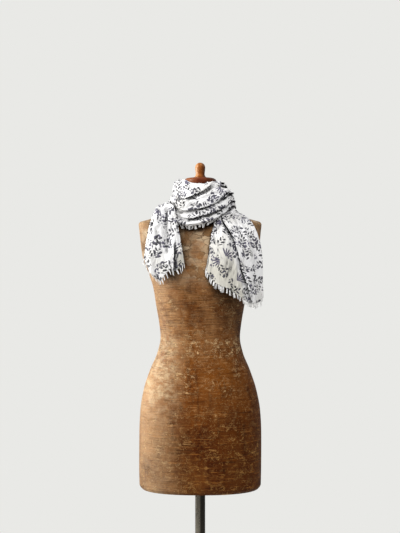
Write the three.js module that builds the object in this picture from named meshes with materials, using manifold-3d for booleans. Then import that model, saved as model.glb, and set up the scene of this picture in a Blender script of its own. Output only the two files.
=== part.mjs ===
// A fringed gauze stole wound once round the neck of a limbless dress form on a round-footed stand.
// Millimetres, +Z up, the form faces -Y. The origin is the middle of the foot's underside.
// The cloth and the form are described in the form's own frame, whose zero height is its bottom edge.
import * as THREE from "three";
import { mergeVertices } from "three/addons/utils/BufferGeometryUtils.js";
import Module from "manifold-3d";

const wasm = await Module();
wasm.setup();

// ---------------------------------------------------------------- driving sizes

const FORM_BOTTOM = 422; // height of the form's bottom edge above the floor
const NECK_TOP = 784; // heights below are above the form's bottom edge
const FORM_SIDES = 36;
const SEAT_GAP = 0.3; // between pieces that touch
const CLOTH = 1.2; // thickness of a cloth wall
const CLOTH_CLEAR = 1.4; // least gap between the cloth's middle and the form

const POLE = { radius: 13, sides: 24, inFoot: 36, inForm: 30, play: 0.3 };
const FOOT = {
  radius: 180, rim: 7, bevel: 8, thickness: 12, hubRadius: 24, hubHeight: 46, hubFlare: 44,
  flareHeight: 20, chamfer: 2, sides: 36,
};
const CAP = { radius: 42, thickness: 17, edge: 5, chamfer: 2, boss: 1.6, sides: 32 };
const KNOB = { height: 39, headRadius: 13.2, flareRadius: 16, sides: 24 };

// The turned outline of the knob below its head: radius and height.
const KNOB_STEM = [[KNOB.flareRadius, 0], [13.6, 2.4], [12.2, 5], [11.4, 9], [12.2, 15], [12.5, 20]];

const TAIL_FRINGE = { length: 10, pitch: 4, width: 1.4, band: 2.2, wander: 0.3 };
const EDGE_FRINGE = { length: 7, pitch: 4.4, width: 1.3, band: 2.0, wander: 0.25 };
const THREAD = { inBand: 0.8, thickness: 0.7, uneven: 0.3, lift: 0.12, droop: 0.35 };

// A fold fades in and out over so many sections. Its lip's sharpness, how far its upper layer
// takes to settle and how far the fold reaches are counted in half-widths. The wall's points
// crowd together so many times closer where the cloth slips over itself.
const FOLD = { fade: 0.9, sharpness: 1.6, settle: 3, reach: 6, slipCrowd: 3 };

const COLOURS = {
  gauze: 0xf1f1f2,
  form: 0x8a5a34,
  turnedWood: 0x8c4f2c,
  iron: 0x3c3a35,
};

// ---------------------------------------------------------------- tables

// The lines that run along the cloth, from its upper edge to its lower.
const LINES = ["edge", "roll", "face", "low", "foot"];

// Level sections of the form: height, half its width, its depth to the front and to the back,
// and how square the section is (2 is an ellipse).
const FORM_SECTIONS = [
  { z: 0, halfWidth: 152, front: 104, back: 112, square: 2.35 },
  { z: 8, halfWidth: 158, front: 110, back: 119, square: 2.35 },
  { z: 58, halfWidth: 159, front: 112, back: 122, square: 2.35 },
  { z: 148, halfWidth: 158.5, front: 112, back: 122, square: 2.35 },
  { z: 200, halfWidth: 156, front: 109, back: 118, square: 2.35 },
  { z: 252, halfWidth: 147, front: 102, back: 108, square: 2.3 },
  { z: 304, halfWidth: 130, front: 92, back: 94, square: 2.25 },
  { z: 350, halfWidth: 111, front: 84, back: 81, square: 2.2 },
  { z: 388, halfWidth: 103.5, front: 81, back: 76, square: 2.2 },
  { z: 424, halfWidth: 107, front: 86, back: 79, square: 2.2 },
  { z: 468, halfWidth: 114.5, front: 98, back: 86, square: 2.2 },
  { z: 519, halfWidth: 122.5, front: 112, back: 94, square: 2.25 },
  { z: 552, halfWidth: 133, front: 115, back: 98, square: 2.35 },
  { z: 594, halfWidth: 149, front: 107, back: 100, square: 2.5 },
  { z: 631, halfWidth: 154.5, front: 95, back: 97, square: 2.6 },
  { z: 666, halfWidth: 158.5, front: 79, back: 86, square: 2.7 },
  { z: 681, halfWidth: 160, front: 68, back: 76, square: 2.7 },
  { z: 687, halfWidth: 157, front: 62, back: 70, square: 2.5 },
  { z: 694, halfWidth: 134, front: 57, back: 64, square: 2.2 },
  { z: 704, halfWidth: 103, front: 53, back: 58, square: 2.1 },
  { z: 716, halfWidth: 76, front: 50, back: 54, square: 2.0 },
  { z: 730, halfWidth: 59, front: 48, back: 50, square: 2.0 },
  { z: 750, halfWidth: 48, front: 46, back: 47, square: 2.0 },
  { z: NECK_TOP, halfWidth: 42, front: 42, back: 42, square: 2.0 },
];

// The long stretch of the stole: sections round the neck, at a turn in degrees from the front
// towards +X. Each has the five lines named in LINES, from the upper edge to the lower, as
// [radius, height].
const WOUND = [
  { turn: -120, lines: [[51, 780], [55, 786], [61, 771], [64, 751], [63, 734]] },
  { turn: -86, lines: [[51, 786], [60, 794], [71, 774], [73, 748], [70, 728]] },
  { turn: -54, lines: [[51, 784], [63, 793], [79, 764], [85, 730], [85, 698]] },
  { turn: -24, lines: [[51, 777], [66, 785], [89, 754], [94, 713], [96, 673]] },
  { turn: 6, lines: [[51, 774], [66, 781], [91, 752], [95, 716], [97, 680]] },
  { turn: 34, lines: [[51, 780], [62, 786], [86, 760], [94, 730], [92, 699]] },
  { turn: 64, lines: [[51, 781], [57, 787], [75, 768], [89, 749], [93, 728]] },
  { turn: 98, lines: [[54, 780], [59, 786], [75, 766], [87, 744], [93, 719]] },
  { turn: 138, lines: [[61, 777], [68, 783], [81, 763], [88, 735], [86, 708]] },
  { turn: 180, lines: [[65, 772], [73, 778], [85, 753], [91, 720], [88, 689]] },
  { turn: 219, lines: [[64, 769], [72, 774], [81, 751], [87, 721], [85, 694]] },
  { turn: 246, lines: [[67, 754], [74, 758], [79, 741], [85, 724], [91, 709]] },
];

// The same five lines, as [x, y, z], where that stretch leaves the neck and hangs in front of
// the shoulder.
const LEFT_FALL = [
  { lines: [[-76, -4, 731], [-82, -4, 736], [-91, -3, 735], [-102, -1, 726], [-113, 3, 714]] },
  { lines: [[-77, -46, 731], [-84, -49, 735], [-94, -43, 733], [-108, -35, 724], [-121, -24, 711]] },
  { lines: [[-66, -69, 722], [-77, -78, 723], [-92, -75, 719], [-110, -64, 711], [-123, -50, 698]] },
  { lines: [[-60, -92, 693], [-72, -97, 695], [-92, -96, 692], [-113, -85, 687], [-127, -67, 680]] },
  { lines: [[-52, -107, 655], [-68, -111, 656], [-93, -108, 654], [-118, -96, 651], [-134, -75, 648]] },
  { lines: [[-45, -117, 612], [-65, -122, 611], [-93, -118, 610], [-121, -106, 610], [-139, -79, 612]] },
  { lines: [[-38, -122, 570], [-61, -127, 566], [-93, -123, 564], [-121, -111, 568], [-140, -87, 574]] },
  { lines: [[-34, -124, 526], [-58, -128, 522], [-92, -124, 520], [-120, -113, 524], [-138, -92, 532]] },
];

// The short stretch: its hidden turn round the back of the neck, then its fall over the other shoulder.
const TUCKED = [
  { turn: 240, lines: [[51, 780], [55, 786], [61, 771], [64, 751], [63, 734]] },
  { turn: 202, lines: [[49, 783], [53, 790], [58, 771], [59, 746], [56, 724]] },
  { turn: 162, lines: [[49, 783], [53, 790], [58, 771], [59, 746], [56, 723]] },
  { turn: 126, lines: [[49, 778], [53, 783], [59, 766], [63, 748], [67, 732]] },
];

const RIGHT_FALL = [
  { lines: [[51, 0, 766], [55, 0, 770], [63, -1, 756], [71, -1, 740], [80, 2, 725]] },
  { lines: [[46, -32, 746], [53, -36, 746], [65, -34, 734], [79, -27, 724], [97, -11, 715]] },
  { lines: [[38, -53, 710], [48, -57, 708], [62, -53, 704], [86, -45, 705], [118, -28, 701]] },
  { lines: [[33, -74, 675], [45, -84, 675], [67, -87, 674], [101, -80, 676], [137, -57, 676]] },
  { lines: [[27, -95, 643], [41, -110, 645], [72, -114, 645], [111, -105, 642], [150, -77, 638]] },
  { lines: [[20, -106, 602], [37, -124, 603], [75, -128, 603], [117, -118, 600], [156, -86, 596]] },
  { lines: [[13, -115, 558], [33, -130, 558], [77, -133, 558], [119, -124, 556], [157, -92, 553]] },
  { lines: [[8, -113, 513], [31, -130, 513], [79, -135, 513], [122, -127, 511], [158, -95, 509]] },
  { lines: [[5, -113, 466], [30, -129, 466], [80, -135, 466], [124, -128, 465], [158, -97, 464]] },
];

// Folds: the sections they run between, their place across the cloth at each end (0 is the upper
// edge), how far the cloth rises there and how far it slips over itself, and their half-width.
const WOUND_FOLDS = [
  { start: 2.5, end: 5.3, from: 0.65, to: 0.2, rise: -5, slip: 8, width: 0.04 },
  { start: 4.1, end: 6.6, from: 0.66, to: 0.44, rise: -5, slip: 4, width: 0.035 },
  { start: 2.2, end: 6.6, from: 0.76, to: 0.58, rise: -5, slip: 10, width: 0.04 },
  { start: 2.5, end: 6.4, from: 0.865, to: 0.78, rise: -4, slip: 7, width: 0.035 },
  { start: 7, end: 9.8, from: 0.58, to: 0.42, rise: -6, slip: 7, width: 0.05 },
  { start: 7.4, end: 11.2, from: 0.74, to: 0.84, rise: -7, slip: 7, width: 0.045 },
  { start: 8.8, end: 12.2, from: 0.36, to: 0.55, rise: -6, slip: 5, width: 0.05 },
  { start: 13, end: 17.8, from: 0.43, to: 0.4, rise: -11, slip: 0, width: 0.12 },
  { start: 13.4, end: 19, from: 0.74, to: 0.7, rise: 8, slip: 0, width: 0.14 },
  { start: 16.2, end: 20.4, from: 0.24, to: 0.38, rise: 7, slip: 6, width: 0.055 },
];

const TUCKED_FOLDS = [
  { start: 1, end: 3.6, from: 0.5, to: 0.6, rise: 3, slip: 0, width: 0.12 },
  { start: 5.6, end: 13, from: 0.48, to: 0.86, rise: 6, slip: 15, width: 0.045 },
  { start: 5.8, end: 11.6, from: 0.84, to: 0.92, rise: -5, slip: 0, width: 0.06 },
  { start: 6.4, end: 11.2, from: 0.18, to: 0.24, rise: -5, slip: 0, width: 0.06 },
  { start: 6.8, end: 12.2, from: 0.38, to: 0.48, rise: 4, slip: 0, width: 0.07 },
];

// Where the hanging ends stop: the section at which each part of the width ends.
const LEFT_HEM = [
  { across: 0, section: 17.8 },
  { across: 0.25, section: 18.1 },
  { across: 0.36, section: 17.9 },
  { across: 0.44, section: 18.2 },
  { across: 0.56, section: 18.62 },
  { across: 0.8, section: 18.1 },
  { across: 1, section: 17.5 },
];
const RIGHT_HEM = [
  { across: 0, section: 9.7 },
  { across: 0.15, section: 10.25 },
  { across: 0.3, section: 10.62 },
  { across: 0.6, section: 11.28 },
  { across: 0.72, section: 11.6 },
  { across: 0.86, section: 11.58 },
  { across: 1, section: 11.28 },
];

// ---------------------------------------------------------------- curves

const clamp = (value, low, high) => Math.max(low, Math.min(high, value));
const ease = (value) => {
  const f = clamp(value, 0, 1);
  return f * f * (3 - 2 * f);
};

// Smooth curve through equally spaced values, at a place counted in values.
function through(values, place) {
  const last = values.length - 1;
  const i = clamp(Math.floor(place), 0, last - 1);
  const f = clamp(place, 0, last) - i;
  const [a, b, c, d] = [i - 1, i, i + 1, i + 2].map((k) => values[clamp(k, 0, last)]);
  return b + 0.5 * f * (c - a + f * (2 * a - 5 * b + 4 * c - d + f * (3 * (b - c) + d - a)));
}

// A table's column at a place in its key column, by straight lines or, if curved, by a curve
// that never overshoots a row.
function lookUp(rows, key, column, place, curved = false) {
  let i = 0;
  while (i < rows.length - 2 && place > rows[i + 1][key]) i += 1;
  const slope = (k) => (rows[k + 1][column] - rows[k][column]) / (rows[k + 1][key] - rows[k][key]);
  const tangent = (k) => {
    if (k === 0 || k === rows.length - 1) return slope(Math.min(k, rows.length - 2));
    const [a, b] = [slope(k - 1), slope(k)];
    return a * b <= 0 ? 0 : (2 * a * b) / (a + b);
  };
  const span = rows[i + 1][key] - rows[i][key];
  const f = clamp((place - rows[i][key]) / span, 0, 1);
  const [v0, v1] = [rows[i][column], rows[i + 1][column]];
  if (!curved) return v0 + (v1 - v0) * f;
  const bend = span * ((1 - f) * tangent(i) - f * tangent(i + 1)) + (v1 - v0) * (2 * f - 1);
  return v0 + (v1 - v0) * f + f * (1 - f) * bend;
}

// Repeatable numbers from -1 to 1.
function shuffler(seed) {
  let state = seed;
  return () => {
    state = (state * 16807) % 2147483647;
    return (2 * state) / 2147483647 - 1;
  };
}

// ---------------------------------------------------------------- the form

function formSection(z) {
  const at = (column) => lookUp(FORM_SECTIONS, "z", column, clamp(z, 0, NECK_TOP), true);
  return { halfWidth: at("halfWidth"), front: at("front"), back: at("back"), square: at("square") };
}

// A point that is nearer to the form than a gap, moved straight out from the form's axis.
function keepClear(point, gap) {
  const section = formSection(point.z - gap);
  const depth = point.y < 0 ? section.front : section.back;
  const reach =
    (Math.abs(point.x) / (section.halfWidth + gap)) ** section.square +
    (Math.abs(point.y) / (depth + gap)) ** section.square;
  if (reach >= 1 || point.z > NECK_TOP) return point;
  const grow = reach ** (-1 / section.square);
  return new THREE.Vector3(point.x * grow, point.y * grow, point.z);
}

// A closed body from rings of points, the first and last filled by a fan.
function loft(rings) {
  const count = rings[0].length;
  const positions = rings.flat().flatMap((p) => p.toArray());
  const faces = [];
  for (let i = 0; i < rings.length - 1; i += 1) {
    for (let j = 0; j < count; j += 1) {
      const [a, b] = [i * count + j, i * count + ((j + 1) % count)];
      faces.push(a, b, b + count, a, b + count, a + count);
    }
  }
  for (const [ring, facing] of [[0, -1], [rings.length - 1, 1]]) {
    const middle = rings[ring].reduce((sum, p) => sum.add(p), new THREE.Vector3()).divideScalar(count);
    positions.push(...middle.toArray());
    const centre = positions.length / 3 - 1;
    for (let j = 0; j < count; j += 1) {
      const [a, b] = [ring * count + j, ring * count + ((j + 1) % count)];
      faces.push(...(facing > 0 ? [a, b, centre] : [b, a, centre]));
    }
  }
  return indexed(positions, faces);
}

function indexed(positions, faces) {
  const geometry = new THREE.BufferGeometry();
  geometry.setAttribute("position", new THREE.Float32BufferAttribute(positions, 3));
  geometry.setIndex(faces);
  return geometry;
}

function formGeometry() {
  const levels = [0, 3, 8, 60, 115, 160, 200, 235, 268, 300, 332, 360, 390, 422, 457, 492, 525, 552,
    576, 600, 626, 650, 668, 680, 686, 692, 699, 707, 717, 730, 748, NECK_TOP];
  const rings = levels.map((z) => {
    const { halfWidth, front, back, square } = formSection(z);
    return Array.from({ length: FORM_SIDES }, (_, j) => {
      const turn = (2 * Math.PI * j) / FORM_SIDES;
      const [c, s] = [Math.cos(turn), Math.sin(turn)];
      const curve = (value) => Math.sign(value) * Math.abs(value) ** (2 / square);
      return new THREE.Vector3(halfWidth * curve(c), (s < 0 ? front : back) * curve(s), z);
    });
  });
  const socket = new THREE.CylinderGeometry(
    POLE.radius + POLE.play, POLE.radius + POLE.play, 2 * (POLE.inForm + SEAT_GAP), POLE.sides);
  socket.rotateX(Math.PI / 2);
  return geometryOf(solidOf(loft(rings)).subtract(solidOf(socket)));
}

// ---------------------------------------------------------------- solids

function solidOf(geometry) {
  const bare = geometry.clone();
  bare.deleteAttribute("normal");
  bare.deleteAttribute("uv");
  const merged = mergeVertices(bare, 1e-4);
  return new wasm.Manifold(new wasm.Mesh({
    numProp: 3,
    vertProperties: merged.attributes.position.array,
    triVerts: new Uint32Array(merged.index.array),
  }));
}

function geometryOf(solid) {
  const { numProp, vertProperties, triVerts } = solid.getMesh();
  const positions = [];
  for (let i = 0; i < vertProperties.length; i += numProp) {
    positions.push(...vertProperties.slice(i, i + 3));
  }
  return indexed(positions, [...triVerts]);
}

// A turned piece about Z, from the radius and height of its outline, bottom to top.
function turned(outline, sides) {
  const geometry = new THREE.LatheGeometry(outline.map(([r, z]) => new THREE.Vector2(r, z)), sides);
  geometry.rotateX(Math.PI / 2);
  return geometryOf(solidOf(geometry));
}

function neckCapGeometry() {
  const { radius, thickness, edge, chamfer, boss, sides } = CAP;
  const rim = [0, 1, 2, 3].map((k) => {
    const turn = (k * Math.PI) / 6;
    return [radius - edge + edge * Math.cos(turn), thickness - edge + edge * Math.sin(turn)];
  });
  return turned([[0, 0], [radius - chamfer, 0], [radius, chamfer], ...rim,
    [KNOB.flareRadius + 2, thickness + boss], [0, thickness + boss]], sides);
}

function knobGeometry() {
  const { height, headRadius, sides } = KNOB;
  const crown = [0, 1, 2, 3, 4].map((k) => {
    const turn = (k * Math.PI) / 10;
    return [headRadius * Math.cos(turn), height - headRadius + headRadius * Math.sin(turn)];
  });
  return turned([[0, 0], ...KNOB_STEM, ...crown, [0, height]], sides);
}

function footGeometry() {
  const { radius, rim, bevel, thickness, chamfer, sides } = FOOT;
  const { hubRadius, hubHeight, hubFlare, flareHeight } = FOOT;
  const bore = POLE.radius + POLE.play;
  const floor = hubHeight - POLE.inFoot;
  const flare = [0.3, 0.65, 1].map((share) =>
    [hubRadius + hubFlare * (1 - share) ** 2, thickness + flareHeight * share]);
  return turned([[0, 0], [radius, 0], [radius, rim], [radius - bevel, thickness], ...flare,
    [hubRadius, hubHeight - chamfer], [hubRadius - chamfer, hubHeight], [bore, hubHeight],
    [bore, floor], [0, floor]], sides);
}

function poleGeometry() {
  const bottom = FOOT.hubHeight - POLE.inFoot + SEAT_GAP;
  const top = FORM_BOTTOM + POLE.inForm;
  return turned([[0, bottom], [POLE.radius, bottom], [POLE.radius, top], [0, top]], POLE.sides);
}

// ---------------------------------------------------------------- the cloth

// The five points of a section, from either kind of row.
function sectionPoints(row) {
  if (row.turn === undefined) return row.lines.map((point) => new THREE.Vector3(...point));
  const turn = THREE.MathUtils.degToRad(row.turn);
  return row.lines.map(([radius, height]) =>
    new THREE.Vector3(radius * Math.sin(turn), -radius * Math.cos(turn), height));
}

// A stretch of cloth: its sections in order, its folds, and which of its sides faces out.
function stretch(rows, folds, outward) {
  return { sections: rows.map(sectionPoints), folds, outward };
}

function smoothPoint(cloth, along, across) {
  const values = (axis) => LINES.map((_, line) =>
    through(cloth.sections.map((points) => points[line].getComponent(axis)), along));
  const place = across * (LINES.length - 1);
  return new THREE.Vector3(...[0, 1, 2].map((axis) => through(values(axis), place)));
}

// How strongly a fold shows at a section, and where it lies across the cloth there.
function foldAt(fold, along) {
  const strength = ease((along - fold.start) / FOLD.fade) * ease((fold.end - along) / FOLD.fade);
  const share = clamp((along - fold.start) / (fold.end - fold.start), 0, 1);
  return { strength, place: fold.from + (fold.to - fold.from) * share };
}

// The cloth's middle surface, folds included.
function clothPoint(cloth, along, across) {
  const step = 0.01;
  const point = smoothPoint(cloth, along, across);
  const down = smoothPoint(cloth, along, Math.min(1, across + step))
    .sub(smoothPoint(cloth, along, Math.max(0, across - step))).normalize();
  const on = smoothPoint(cloth, along + step, across)
    .sub(smoothPoint(cloth, along - step, across)).normalize();
  const out = down.clone().cross(on).normalize().multiplyScalar(cloth.outward);
  for (const fold of cloth.folds) {
    const { strength, place } = foldAt(fold, along);
    const t = (across - place) / fold.width;
    if (strength === 0 || Math.abs(t) > FOLD.reach) continue;
    if (fold.slip === 0) {
      point.addScaledVector(out, strength * fold.rise * Math.exp(-t * t));
      continue;
    }
    const upper = fold.rise < 0 ? -t : t;
    const onUpper = 0.5 + 0.5 * Math.tanh(FOLD.sharpness * upper);
    const settle = upper > 0 ? Math.exp(-((upper / FOLD.settle) ** 2)) : 1;
    point.addScaledVector(out, strength * Math.abs(fold.rise) * onUpper * settle);
    point.addScaledVector(down, -strength * fold.slip * t * Math.exp(0.5 - t * t / 2));
  }
  return keepClear(point, CLOTH_CLEAR);
}

// Places across the cloth, closer together at its folds.
function placesAcross(cloth, along, count) {
  const samples = 120;
  const total = [0];
  for (let k = 0; k < samples; k += 1) {
    const across = (k + 0.5) / samples;
    const crowd = cloth.folds.reduce((sum, fold) => {
      const { strength, place } = foldAt(fold, along);
      const weight = fold.slip ? FOLD.slipCrowd : 1;
      return sum + strength * weight * Math.exp(-(((across - place) / fold.width) ** 2) / 4);
    }, 1);
    total.push(total[k] + crowd);
  }
  return Array.from({ length: count + 1 }, (_, j) => {
    const wanted = (total[samples] * j) / count;
    let k = 0;
    while (k < samples - 1 && total[k + 1] < wanted) k += 1;
    return (k + (wanted - total[k]) / (total[k + 1] - total[k])) / samples;
  });
}

// The cloth at a place: its middle point and the way its outer side faces.
function clothNode(cloth, along, across) {
  const step = 0.02;
  const side = 0.006;
  const down = clothPoint(cloth, along, Math.min(1, across + side))
    .sub(clothPoint(cloth, along, Math.max(0, across - side)));
  const on = clothPoint(cloth, along + step, across).sub(clothPoint(cloth, along - step, across));
  const normal = down.cross(on).normalize().multiplyScalar(cloth.outward);
  return { point: clothPoint(cloth, along, across), normal };
}

// A grid of places on the cloth from one section to another, or to a hem.
function clothGrid(cloth, first, last, rows, columns) {
  const hem = Array.isArray(last);
  const end = (across) => (hem ? lookUp(last, "across", "section", across) : last);
  const reach = hem ? Math.max(...last.map((row) => row.section)) : last;
  const grid = Array.from({ length: rows + 1 }, (_, i) => {
    const share = i / rows;
    const across = placesAcross(cloth, first + (reach - first) * share, columns);
    return across.map((place) => clothNode(cloth, first + (end(place) - first) * share, place));
  });
  drawBack(grid[0], grid[1]);
  if (!hem) drawBack(grid[rows], grid[rows - 1]);
  return grid;
}

// Moves an end row inwards by half the gap of a seam.
function drawBack(row, next) {
  row.forEach(({ point }, j) => {
    point.addScaledVector(next[j].point.clone().sub(point).normalize(), SEAT_GAP / 2);
  });
}

// The closed wall round a grid of middle points.
function wall(grid, outward, thickness = CLOTH) {
  const [rows, columns] = [grid.length, grid[0].length];
  const end = columns - 1;
  const positions = [1, -1].flatMap((side) => grid.flat().flatMap(({ point, normal }) =>
    point.clone().addScaledVector(normal, (side * thickness) / 2).toArray()));
  const at = (side, i, j) => side * rows * columns + i * columns + j;
  const faces = [];
  const quad = (a, b, c, d) => faces.push(a, b, c, a, c, d);
  for (let i = 0; i < rows - 1; i += 1) {
    for (let j = 0; j < columns - 1; j += 1) {
      quad(at(0, i, j), at(0, i, j + 1), at(0, i + 1, j + 1), at(0, i + 1, j));
      quad(at(1, i, j), at(1, i + 1, j), at(1, i + 1, j + 1), at(1, i, j + 1));
    }
    quad(at(0, i, 0), at(0, i + 1, 0), at(1, i + 1, 0), at(1, i, 0));
    quad(at(0, i, end), at(1, i, end), at(1, i + 1, end), at(0, i + 1, end));
  }
  for (let j = 0; j < columns - 1; j += 1) {
    quad(at(0, 0, j), at(1, 0, j), at(1, 0, j + 1), at(0, 0, j + 1));
    quad(at(0, rows - 1, j), at(0, rows - 1, j + 1), at(1, rows - 1, j + 1), at(1, rows - 1, j));
  }
  if (outward < 0) faces.reverse();
  return indexed(positions, faces);
}

// ---------------------------------------------------------------- the fringe

// Places along an edge of the cloth, with the way its threads leave it.
function edgeOf(row, inside) {
  return row.map(({ point, normal }, k) => ({
    point,
    normal,
    leave: point.clone().sub(inside[k].point).normalize(),
  }));
}

function alongEdge(edge, distance) {
  let left = distance;
  let k = 0;
  while (k < edge.length - 2 && left > edge[k].point.distanceTo(edge[k + 1].point)) {
    left -= edge[k].point.distanceTo(edge[k + 1].point);
    k += 1;
  }
  const share = clamp(left / edge[k].point.distanceTo(edge[k + 1].point), 0, 1);
  const mix = (column) => edge[k][column].clone().lerp(edge[k + 1][column], share);
  return { point: mix("point"), leave: mix("leave").normalize(), normal: mix("normal").normalize() };
}

function edgeLength(edge) {
  return edge.slice(1).reduce((sum, { point }, k) => sum + point.distanceTo(edge[k].point), 0);
}

// A narrow woven band just off the cloth's edge, with three-sided threads fused to it. The band is
// cut back where a pleat of the cloth crosses it, and a thread that would meet the cloth is left out.
function fringeGeometry(edge, size, seed, grid, outward) {
  const near = solidOf(wall(grid, outward, CLOTH + SEAT_GAP));
  const wander = shuffler(seed);
  const length = edgeLength(edge);
  const rings = edge.map(({ point, leave, normal }) => {
    const corner = (out, off) => point.clone()
      .addScaledVector(leave, SEAT_GAP + out * size.band)
      .addScaledVector(normal, (off * CLOTH) / 2);
    return [corner(0, 1), corner(1, 1), corner(1, -1), corner(0, -1)];
  });
  let solid = solidOf(loft(rings));
  if (solid.volume() < 0) solid = solidOf(loft(rings.map((ring) => ring.reverse())));
  solid = solid.subtract(near);
  const threads = Math.floor((length - size.width) / size.pitch);
  for (let n = 0; n <= threads; n += 1) {
    const { point, leave, normal } = alongEdge(edge, size.width / 2 + n * size.pitch);
    const side = leave.clone().cross(normal).normalize();
    const root = point.clone().addScaledVector(leave, SEAT_GAP + size.band - THREAD.inBand);
    const reach = size.length * (1 + THREAD.uneven * wander());
    const way = leave.clone().addScaledVector(side, size.wander * wander())
      .addScaledVector(normal, THREAD.lift * wander())
      .add(new THREE.Vector3(0, 0, -THREAD.droop)).normalize();
    const tip = keepClear(root.clone().addScaledVector(way, reach), CLOTH_CLEAR);
    const corners = [[-1, 0.5], [1, 0.5], [0, -0.5]].map(([a, b]) => root.clone()
      .addScaledVector(side, (a * size.width) / 2).addScaledVector(normal, b * THREAD.thickness));
    const strand = thread(...corners, tip);
    if (strand.intersect(near).volume() === 0) solid = solid.add(strand);
  }
  return geometryOf(solid);
}

function thread(a, b, c, tip) {
  const inOrder = b.clone().sub(a).cross(c.clone().sub(a)).dot(tip.clone().sub(a)) < 0;
  const [p, q, r] = inOrder ? [a, b, c] : [a, c, b];
  const positions = [p, q, r, tip].flatMap((point) => point.toArray());
  return solidOf(indexed(positions, [0, 1, 2, 0, 3, 1, 1, 3, 2, 2, 3, 0]));
}

// ---------------------------------------------------------------- assembly

const material = (color, roughness, metalness = 0) =>
  new THREE.MeshStandardMaterial({ color, roughness, metalness });
const gauze = material(COLOURS.gauze, 0.95);
const papierMache = material(COLOURS.form, 0.62);
const wood = material(COLOURS.turnedWood, 0.42);
const iron = material(COLOURS.iron, 0.5, 0.7);

function piece(name, geometry, material, z = 0) {
  const mesh = new THREE.Mesh(geometry, material);
  mesh.name = name;
  mesh.position.z = z;
  return mesh;
}

const longStretch = stretch([...WOUND, ...LEFT_FALL], WOUND_FOLDS, 1);
const shortStretch = stretch([...TUCKED, ...RIGHT_FALL], TUCKED_FOLDS, -1);

const grids = {
  frontWrap: clothGrid(longStretch, 0, 7, 26, 24),
  backWrap: clothGrid(longStretch, 7, 11.5, 15, 16),
  leftTail: clothGrid(longStretch, 11.5, LEFT_HEM, 24, 18),
  innerWrap: clothGrid(shortStretch, 0.02, 3.6, 9, 8),
  rightTail: clothGrid(shortStretch, 3.6, RIGHT_HEM, 26, 22),
};

const hemEdge = (grid) => edgeOf(grid.at(-1), grid.at(-2));
const footEdge = (grid, first, last) => edgeOf(
  grid.slice(first, last + 1).map((row) => row.at(-1)),
  grid.slice(first, last + 1).map((row) => row.at(-2)));

const fringes = {
  leftTail: fringeGeometry(hemEdge(grids.leftTail), TAIL_FRINGE, 11, grids.leftTail, 1),
  rightTail: fringeGeometry(hemEdge(grids.rightTail), TAIL_FRINGE, 23, grids.rightTail, -1),
  frontWrap: fringeGeometry(footEdge(grids.frontWrap, 9, 17), EDGE_FRINGE, 37, grids.frontWrap, 1),
  backWrap: fringeGeometry(footEdge(grids.backWrap, 2, 11), EDGE_FRINGE, 41, grids.backWrap, 1),
};

const form = new THREE.Group();
form.position.z = FORM_BOTTOM;
form.add(
  piece("form_body", formGeometry(), papierMache),
  piece("neck_cap", neckCapGeometry(), wood, NECK_TOP + SEAT_GAP),
  piece("cap_knob", knobGeometry(), wood, NECK_TOP + CAP.thickness + CAP.boss + 2 * SEAT_GAP),
  piece("stole_front_wrap", wall(grids.frontWrap, 1), gauze),
  piece("stole_back_wrap", wall(grids.backWrap, 1), gauze),
  piece("stole_left_tail", wall(grids.leftTail, 1), gauze),
  piece("stole_inner_wrap", wall(grids.innerWrap, -1), gauze),
  piece("stole_right_tail", wall(grids.rightTail, -1), gauze),
  piece("fringe_left_tail", fringes.leftTail, gauze),
  piece("fringe_right_tail", fringes.rightTail, gauze),
  piece("fringe_front_wrap", fringes.frontWrap, gauze),
  piece("fringe_back_wrap", fringes.backWrap, gauze),
);

const stand = new THREE.Group();
stand.add(piece("pole", poleGeometry(), iron), piece("foot", footGeometry(), iron));

const model = new THREE.Group();
model.add(stand, form);

export default model;
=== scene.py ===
# The looks of a fringed gauze stole wound round the neck of a limbless dress form.
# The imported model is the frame: metres, +Z up, the form faces -Y. The tables are in millimetres,
# with heights above the form's bottom edge. The solids are made from the same ones, but for the
# small pleats, the creases and the crinkles.
import math
import random
from types import SimpleNamespace

import bpy
import numpy as np
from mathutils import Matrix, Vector


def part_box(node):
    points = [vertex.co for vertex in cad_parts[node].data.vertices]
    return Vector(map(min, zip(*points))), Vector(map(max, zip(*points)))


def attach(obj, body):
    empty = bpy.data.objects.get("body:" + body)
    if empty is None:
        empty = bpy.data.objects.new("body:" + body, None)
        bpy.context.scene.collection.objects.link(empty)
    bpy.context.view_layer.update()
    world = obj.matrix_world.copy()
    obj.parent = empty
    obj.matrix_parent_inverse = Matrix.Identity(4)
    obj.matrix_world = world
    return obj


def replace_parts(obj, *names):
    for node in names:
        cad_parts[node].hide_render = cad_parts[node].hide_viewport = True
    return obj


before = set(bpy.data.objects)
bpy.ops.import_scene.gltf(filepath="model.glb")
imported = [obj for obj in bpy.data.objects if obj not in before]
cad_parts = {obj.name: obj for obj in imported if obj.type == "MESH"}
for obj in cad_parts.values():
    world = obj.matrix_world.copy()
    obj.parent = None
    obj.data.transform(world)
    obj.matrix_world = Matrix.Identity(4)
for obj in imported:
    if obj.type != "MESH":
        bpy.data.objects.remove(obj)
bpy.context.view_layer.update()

MM = 0.001
FORM_LOW, FORM_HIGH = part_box("form_body")
FORM_BOTTOM = FORM_LOW.z / MM
NECK_TOP = (FORM_HIGH.z - FORM_LOW.z) / MM

CLOTH = 0.6  # thickness of the gauze
LONG_WIDTH, SHORT_WIDTH = 137, 165  # mean widths of the two stretches of gathered cloth
CLOTH_CLEAR = 1.4  # least gap between the cloth's middle and the form
CRINKLE_CLEAR = 1.0  # the same, where a crinkle dips
THREAD_CLEAR = 0.9  # least gap between a loose thread's middle and the form
RUNNING_GAP = 0.3  # between solids that touch
AXIS = 0.5  # a turned outline's ends stay this far off its axis

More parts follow.
